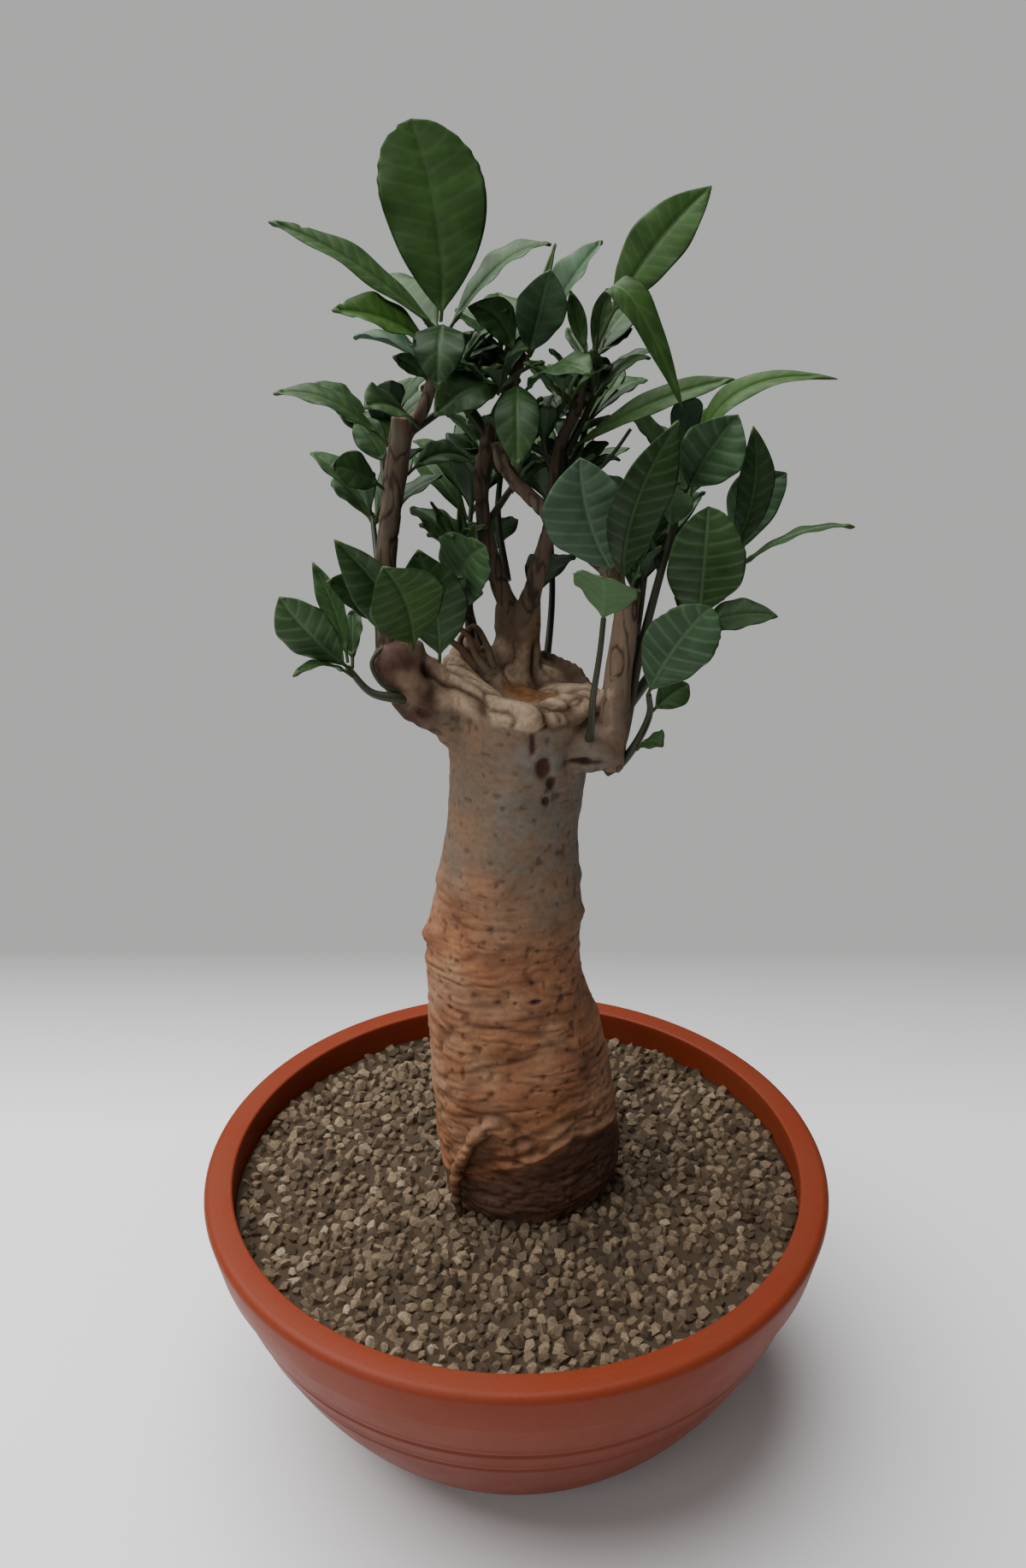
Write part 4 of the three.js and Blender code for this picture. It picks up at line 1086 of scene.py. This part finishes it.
def leaf_piece(row, thickness_mm, relief_mm, material, across=25, along=56):
    """One leaf with a round stalk, a grooved midrib, veins and a wavy margin."""
    name, place, tip, width, face, bow, fold, widest = row
    bright, bloom, veins = LOOKS.get(name, USUAL_LOOK)
    place, tip, bow = np.array(place, float), np.array(tip, float), np.array(bow, float)
    dice = np.random.default_rng(sum(ord(letter) * (i + 3) for i, letter in enumerate(name)))
    forward = (tip - place) / np.linalg.norm(tip - place)
    root = place + forward * TWIG_CLEARANCE
    run = tip - root
    side = np.cross(forward, np.array(face, float))
    side /= np.linalg.norm(side)
    up = np.cross(side, forward)

    start = -TWIG_CLEARANCE / np.linalg.norm(run)
    bare = LONG_STALKS.get(name, STALK_SHARE)
    shares = np.concatenate([
        np.linspace(start, bare, 9, endpoint=False), bare + (1 - bare) * np.linspace(0, 1, along - 9) ** 0.9])
    blade = np.clip((shares - bare) / (1 - bare), 0, 1)
    rising = np.sin(np.pi / 2 * np.clip(blade / widest, 0, 1) ** 0.85)
    falling = np.cos(np.pi / 2 * np.clip((blade - widest) / (1 - widest), 0, 1))
    outline = np.where(blade < widest, rising, falling.clip(0, 1) ** (0.48 if name in BLUNT else 0.85))
    u = np.linspace(-1, 1, across)
    lower = u[-2:0:-1]
    ring_u = np.concatenate([u, lower])
    beneath = np.concatenate([np.zeros(across), np.ones(across - 2)])
    pairs = max(5, round(np.linalg.norm(run) / 6.0))
    waves, phase = dice.uniform(2.2, 3.6), dice.uniform(0, 6.28, 2)

    points, values = [], {key: [] for key in ("across", "veins", "tone", "bloom", "vein", "under", "stalk")}
    for share, b, wide in zip(shares, blade, outline):
        half = np.full(len(ring_u), max(width * wide, STALK_WIDTH) / 2)
        for flank, where, size, depth in NOTCHES.get(name, []):
            half *= 1 - depth * math.exp(-((b - where) / size) ** 2) * step_up(ring_u * flank, 0.2, 0.7)
        if name in BLUNT:
            half *= 1 - 0.018 * step_up(b, 0.55, 0.8) * (1 + math.cos(2 * math.pi * 13 * b))
        if b > 0.999:
            half[:] = 0.25
        flat = step_up(half, 0.8, 3.0)
        reach = ring_u * half
        spine = root + run * share + bow * 4 * share * (1 - share)
        bend = math.radians(fold)
        lift = np.abs(reach) * math.sin(bend) - 0.10 * flat * np.abs(ring_u) ** 2.2 * half
        wavy = np.sin(2 * np.pi * waves * b + np.where(ring_u < 0, phase[0], phase[1]))
        lift += flat * 0.075 * half * np.abs(ring_u) ** 3 * wavy * step_up(b, 0.05, 0.3)
        vein_phase = b * pairs - np.abs(ring_u) * 1.15 * min(1.0, half.mean() * 2 / width + 0.35)
        puff = 0.5 - 0.5 * np.cos(2 * np.pi * vein_phase)
        lift += flat * relief_mm * veins * puff * np.abs(ring_u) ** 0.5 * (1 - np.abs(ring_u) ** 6)
        thick = (1 - flat) * 0.95 * half * np.sqrt(np.clip(1 - ring_u ** 2, 0, 1)) * 2
        thick += flat * thickness_mm * (1 - 0.7 * ring_u ** 4)
        rib = np.exp(-(reach / 0.9) ** 2) * flat
        lift += np.where(beneath > 0, -thick / 2 - 0.55 * rib * (1 - 0.6 * b), thick / 2 - 0.4 * rib)
        points.append(spine + np.outer(reach * math.cos(bend), side) + np.outer(lift, up))
        values["across"].append(reach)
        values["veins"].append(vein_phase + 4)
        values["tone"].append(bright + 0.2 * (np.abs(ring_u) * -0.5 + 0.25) + 0.06 * dice.uniform(-1, 1))
        values["bloom"].append(np.full(len(reach), bloom))
        values["vein"].append(flat * (0.12 + 0.88 * veins ** 1.3))
        values["under"].append(beneath)
        values["stalk"].append(1 - step_up(half, 0.8, 2.2))
    values["tone"] = [np.clip(row, 0, 1) for row in values["tone"]]
    sides = len(ring_u)
    points = np.vstack(points)
    last = len(points) - sides
    faces = skin_faces(len(shares), sides) + [tuple(range(sides))[::-1], tuple(range(last, last + sides))]
    marks = {key: np.concatenate(rows) for key, rows in values.items()}
    piece = mesh_piece(name, points, faces, material, marks)
    face_outwards(piece)
    return piece


# ---- Settings ---------------------------------------------------------------------------


def length(name, description, default_mm):
    """A length setting, kept in metres."""
    return FloatProperty(
        name=name, description=description, default=default_mm * MM, unit="LENGTH", precision=5)


def colour(name, description, code):
    """A colour setting."""
    return FloatVectorProperty(
        name=name, description=description, default=linear(code), subtype="COLOR", size=3)


class BowlSettings(bpy.types.PropertyGroup):
    """Sizes and colour of the bowl"""
    groove_depth: length("Groove depth", "How deep the two turned grooves are", 1.2)
    steps: IntProperty(name="Steps", description="Faces round the bowl", default=200)
    colour: colour("Colour", "Colour of the plastic", "7A321D")


class GritSettings(bpy.types.PropertyGroup):
    """Sizes and colour of the grit"""
    spacing: length("Spacing", "Least distance between two grains", 4.5)
    smallest: length("Smallest", "Smallest grain", 5.2)
    largest: length("Largest", "Largest grain", 9.2)
    seed: IntProperty(name="Seed", description="Where the grains fall", default=3)
    colour: colour("Colour", "Tint of the grit", "67573F")


class TrunkSettings(bpy.types.PropertyGroup):
    """Detail and colours of the trunk"""
    voxel: length("Detail", "Size of the faces of the bark", 1.02)
    wrinkle: length("Wrinkle depth", "Depth of the wrinkles of the cork", 0.95)
    upper: colour("Upper bark", "Colour of the thin skin", "7C614A")
    lower: colour("Lower bark", "Colour of the cork", "9A6846")


class LimbSettings(bpy.types.PropertyGroup):
    """Detail and colours of the limbs and shoots"""
    voxel: length("Detail", "Size of the faces of the limbs", 0.6)
    rib: length("Rib height", "Height of the lengthwise ribs", 0.6)
    bark: colour("Limb bark", "Colour of the limbs", "3F342A")
    skin: colour("Shoot skin", "Colour of the green shoots", "2C3520")


class LeafSettings(bpy.types.PropertyGroup):
    """Sizes and colours of the leaves"""
    thickness: length("Thickness", "Thickness of the blades", 0.5)
    relief: length("Vein relief", "How far the blade swells between veins", 0.5)
    dark: colour("Dark leaf", "Colour of the darkest leaves", "14230F")
    bright: colour("Bright leaf", "Colour of the brightest leaves", "4C7428")


class StageSettings(bpy.types.PropertyGroup):
    """Floor and light"""
    floor: colour("Floor", "Colour of the floor", "F2F2F2")
    backdrop: colour("Backdrop", "Colour round the plant", "B9B8B7")
    ambient: FloatProperty(
        name="Ambient", description="Share of the backdrop's light that reaches the plant", default=0.26)
    key: FloatProperty(name="Key light", description="Power of the main light in watts", default=50)


# ---- Operators --------------------------------------------------------------------------


class PLANT_OT_bowl(bpy.types.Operator):
    """Make the planting bowl"""
    bl_idname = "plant.make_bowl"
    bl_label = "Bowl"

    def execute(self, context):
        made = context.scene.plant_bowl
        points, faces = turned(bowl_profile(made.groove_depth / MM), made.steps)
        piece = mesh_piece("bowl_finish", points, faces, moulded_plastic(made.colour))
        face_outwards(piece)
        check_place(piece, "bowl", 1.5)
        own(piece, "bowl", "bowl")
        return {"FINISHED"}


class PLANT_OT_grit(bpy.types.Operator):
    """Make the bed of grit and its loose top layer"""
    bl_idname = "plant.make_grit"
    bl_label = "Grit"

    def execute(self, context):
        made = context.scene.plant_grit
        stone = crushed_grit(made.colour)
        own(bed_piece(stone), "gravel", "gravel")
        basket = grain_shapes(6, stone)
        tree = grit_tree()
        even = grow(ring_surface(0, 133.6), tree, "grit_layer", grains=basket, spacing=made.spacing,
                    density=1.6e5, smallest=made.smallest, largest=made.largest, seed=made.seed,
                    material=stone)
        own(even, "gravel")
        coarse = grow(ring_surface(3, 130), tree, "grit_coarse", grains=basket, spacing=15 * MM,
                      density=2.5e3, smallest=made.largest, largest=12 * MM, seed=made.seed + 1,
                      material=stone)
        own(coarse, "gravel")
        return {"FINISHED"}


class PLANT_OT_trunk(bpy.types.Operator):
    """Make the trunk, with its stubs, cut and buried foot"""
    bl_idname = "plant.make_trunk"
    bl_label = "Trunk"

    def execute(self, context):
        made = context.scene.plant_trunk
        bark = caudex_bark(made.upper, made.lower)
        piece = trunk_piece(made.voxel / MM, made.wrinkle / MM, bark)
        own(piece, "bark", "trunk")
        foot = capped_loft("trunk_foot", [trunk_ring(row, 40) for row in FOOT_STATIONS])
        foot.data.materials.append(bark)
        own(foot, "bark")
        for i, curl in enumerate(CURLS):
            own(stem_piece(f"curl_{i}", curl, [2, 1.3, 1.2, 1.3, 2], bark, 12, 1), "bark")
        for i, root in enumerate(ROOTS):
            own(stem_piece(f"root_{i}", root, [9, 6, 2.5], bark, 12, 4), "bark")
        return {"FINISHED"}


class PLANT_OT_limbs(bpy.types.Operator):
    """Make the woody limbs"""
    bl_idname = "plant.make_limbs"
    bl_label = "Limbs"

    def execute(self, context):
        made = context.scene.plant_limbs
        bark = limb_bark(made.bark)
        for name, stems in LIMBS.items():
            parts = [
                stem_piece(f"{name}_{i}", path, radii, None, 28, 1)
                for i, (path, radii) in enumerate(stems)]
            piece = fused(parts, name + "_skin", made.voxel / MM, 3)
            piece.name = name + "_finish"
            ribbed(piece, bark, made.rib / MM)
            own(piece, "limb_bark", name)
        return {"FINISHED"}


# Thin stems too small for the frame.
LOOSE_STEMS = [
    ([(41, -10, 384), (50, -5, 394), (59, -2, 401)], [0.9, 0.8, 0.7]),
    ([(18, 6, 452), (30, 6, 458), (38, 6, 466), (45, 6, 476)], [0.9, 0.8, 0.7]),
    ([(-48, -16, 374), (-55, -18, 378), (-59, -16, 386), (-54, -14, 392), (-50, -13, 386)],
     [1.2, 1, 0.8, 0.7]),
]


class PLANT_OT_shoots(bpy.types.Operator):
    """Make the green shoots"""
    bl_idname = "plant.make_shoots"
    bl_label = "Shoots"

    def execute(self, context):
        skin = shoot_skin(context.scene.plant_limbs.skin)
        for name, stems in SHOOTS.items():
            path, radii = stems[0]
            own(stem_piece(name + "_finish", path, radii, skin, 14, 1.2), "green_stem", name)
        for i, (path, radii) in enumerate(LOOSE_STEMS):
            own(stem_piece(f"petiole_{i}", path, radii, skin, 10, 1), "green_stem")
        return {"FINISHED"}


class PLANT_OT_leaves(bpy.types.Operator):
    """Make the leaves of the frame"""
    bl_idname = "plant.make_leaves"
    bl_label = "Leaves"

    def execute(self, context):
        made = context.scene.plant_leaf
        blade = leaf_blade(made.dark, made.bright)
        for row in LEAVES:
            piece = leaf_piece(row, made.thickness / MM, made.relief / MM, blade)
            check_place(piece, row[0], 11)
            piece.name = row[0] + "_finish"
            own(piece, "leaf", row[0])
        return {"FINISHED"}


class PLANT_OT_young_leaves(bpy.types.Operator):
    """Make the small leaves and those on the far side"""
    bl_idname = "plant.make_young_leaves"
    bl_label = "Young leaves"

    def execute(self, context):
        made = context.scene.plant_leaf
        blade = bpy.data.materials.get("waxy_leaf_blade") or leaf_blade(made.dark, made.bright)
        for row in YOUNG_LEAVES:
            own(leaf_piece(row, made.thickness / MM, made.relief / MM, blade, 17, 44), "leaf")
        return {"FINISHED"}


class PLANT_OT_sprigs(bpy.types.Operator):
    """Make the leafy twigs that fill the crown and its far side"""
    bl_idname = "plant.make_sprigs"
    bl_label = "Sprigs"

    def execute(self, context):
        made = context.scene.plant_leaf
        blade = bpy.data.materials.get("waxy_leaf_blade") or leaf_blade(made.dark, made.bright)
        skin = bpy.data.materials.get("green_shoot_skin") or shoot_skin(context.scene.plant_limbs.skin)
        dice = np.random.default_rng(12)
        for i, (path, count, size, width) in enumerate(SPRIGS):
            own(stem_piece(f"twig_{i}", path, [1.8, 1.4, 1.1], skin, 10, 1.5), "green_stem")
            axis = np.array(path[-1], float) - np.array(path[-2], float)
            axis /= np.linalg.norm(axis)
            for j in range(count):
                turn = 2.4 * j + dice.uniform(-0.3, 0.3)
                out = np.array([math.cos(turn), math.sin(turn), 0.35 + 0.5 * j / count])
                out = out / np.linalg.norm(out) + 0.35 * axis
                reach = size * dice.uniform(0.75, 1.1)
                foot = np.array(path[-1], float) - axis * dice.uniform(0, 9)
                tip = foot + out / np.linalg.norm(out) * reach
                sag = (0, 0, reach * dice.uniform(0.05, 0.16))
                row = (f"sprig_{i}_{j}", tuple(foot), tuple(tip), width * dice.uniform(0.8, 1.1),
                       (0.0, -0.2, 1.0), sag, 16, dice.uniform(0.5, 0.6))
                own(leaf_piece(row, made.thickness / MM, made.relief / MM, blade, 13, 26), "leaf")
        return {"FINISHED"}


# The fill light's share of the key light's power.
FILL_SHARE = 0.13


class PLANT_OT_stage(bpy.types.Operator):
    """Make the floor, the light and the camera"""
    bl_idname = "plant.make_stage"
    bl_label = "Stage"

    def execute(self, context):
        made = context.scene.plant_stage
        reach = 2400
        floor = mesh_piece("floor", [
            (-reach, -reach, 0), (reach, -reach, 0), (reach, reach, 0), (-reach, reach, 0)],
                           [(0, 1, 2, 3)], paper_floor(made.floor))
        world = bpy.data.worlds.new("studio")
        world.use_nodes = True
        tree = world.node_tree
        seen = add(tree, "ShaderNodeLightPath").outputs["Is Camera Ray"]
        strength = math_of(tree, "MULTIPLY_ADD", seen, 1 - made.ambient)
        strength.node.inputs[2].default_value = made.ambient
        tree.nodes["Background"].inputs["Color"].default_value = (*made.backdrop, 1)
        tree.links.new(strength, tree.nodes["Background"].inputs["Strength"])
        context.scene.world = world
        for name, place, size, power in (
                ("key", (-0.45, 0.12, 1.45), 1.9, made.key),
                ("fill", (-0.9, -1.4, 0.9), 1.2, made.key * FILL_SHARE)):
            lamp = bpy.data.lights.new(name, "AREA")
            lamp.shape = "DISK"
            lamp.size = size
            lamp.energy = power
            light = bpy.data.objects.new(name, lamp)
            light.location = place
            light.rotation_euler = (Vector((0, 0, 0.25)) - Vector(place)).to_track_quat("-Z", "Y").to_euler()
            context.scene.collection.objects.link(light)
        lens = bpy.data.cameras.new("camera")
        lens.lens = 31.41
        lens.sensor_width = 36
        camera = bpy.data.objects.new("camera", lens)
        camera.location = (-1.6 * MM, -547.6 * MM, 555.2 * MM)
        camera.rotation_euler = (math.radians(90 - 22.69), 0, 0)
        context.scene.collection.objects.link(camera)
        context.scene.camera = camera
        return {"FINISHED"}


def paper_floor(colour):
    """Matt paper roll, seamless: it fades into the backdrop beyond the plant."""
    material, tree, shader = new_material("matt_paper_floor")
    shader.inputs["Roughness"].default_value = 0.95
    shader.inputs["Specular IOR Level"].default_value = 0.1
    shader.inputs["Base Color"].default_value = (*colour, 1)
    place = add(tree, "ShaderNodeSeparateXYZ", {0: add(tree, "ShaderNodeTexCoord").outputs["Object"]})
    across = span(tree, math_of(tree, "ABSOLUTE", place.outputs["X"]), 0.5, 0.8, 1.0, 0.0)
    distance = math_of(tree, "ABSOLUTE", math_of(tree, "ADD", place.outputs["Y"], 0.19))
    away = span(tree, distance, 0.38, 0.62, 1.0, 0.0)
    fade = math_of(tree, "MULTIPLY", across, away)
    join_up(tree, shader, Alpha=fade)
    return material


STEPS = (
    ("plant_bowl", BowlSettings, [PLANT_OT_bowl]),
    ("plant_grit", GritSettings, [PLANT_OT_grit]),
    ("plant_trunk", TrunkSettings, [PLANT_OT_trunk]),
    ("plant_limbs", LimbSettings, [PLANT_OT_limbs, PLANT_OT_shoots]),
    ("plant_leaf", LeafSettings, [PLANT_OT_leaves, PLANT_OT_young_leaves, PLANT_OT_sprigs]),
    ("plant_stage", StageSettings, [PLANT_OT_stage]),
)


class PLANT_PT_panel(bpy.types.Panel):
    """Sidebar panel with the plant's settings and steps"""
    bl_label = "Potted Baobab"
    bl_idname = "PLANT_PT_panel"
    bl_space_type = "VIEW_3D"
    bl_region_type = "UI"
    bl_category = "Plant"

    def draw(self, context):
        for name, settings, operators in STEPS:
            box = self.layout.box()
            for field in settings.__annotations__:
                box.prop(getattr(context.scene, name), field)
            for operator in operators:
                box.operator(operator.bl_idname)


def register():
    for name, settings, operators in STEPS:
        bpy.utils.register_class(settings)
        setattr(bpy.types.Scene, name, PointerProperty(type=settings))
        for operator in operators:
            bpy.utils.register_class(operator)
    bpy.utils.register_class(PLANT_PT_panel)


def unregister():
    bpy.utils.unregister_class(PLANT_PT_panel)
    for name, settings, operators in reversed(STEPS):
        for operator in operators:
            bpy.utils.unregister_class(operator)
        delattr(bpy.types.Scene, name)
        bpy.utils.unregister_class(settings)


def main():
    """Makes every piece and the stage."""
    register()
    bpy.ops.plant.make_bowl()
    bpy.ops.plant.make_grit()
    bpy.ops.plant.make_trunk()
    bpy.ops.plant.make_limbs()
    bpy.ops.plant.make_shoots()
    bpy.ops.plant.make_leaves()
    bpy.ops.plant.make_young_leaves()
    bpy.ops.plant.make_sprigs()
    bpy.ops.plant.make_stage()


if __name__ == "__main__":
    main()
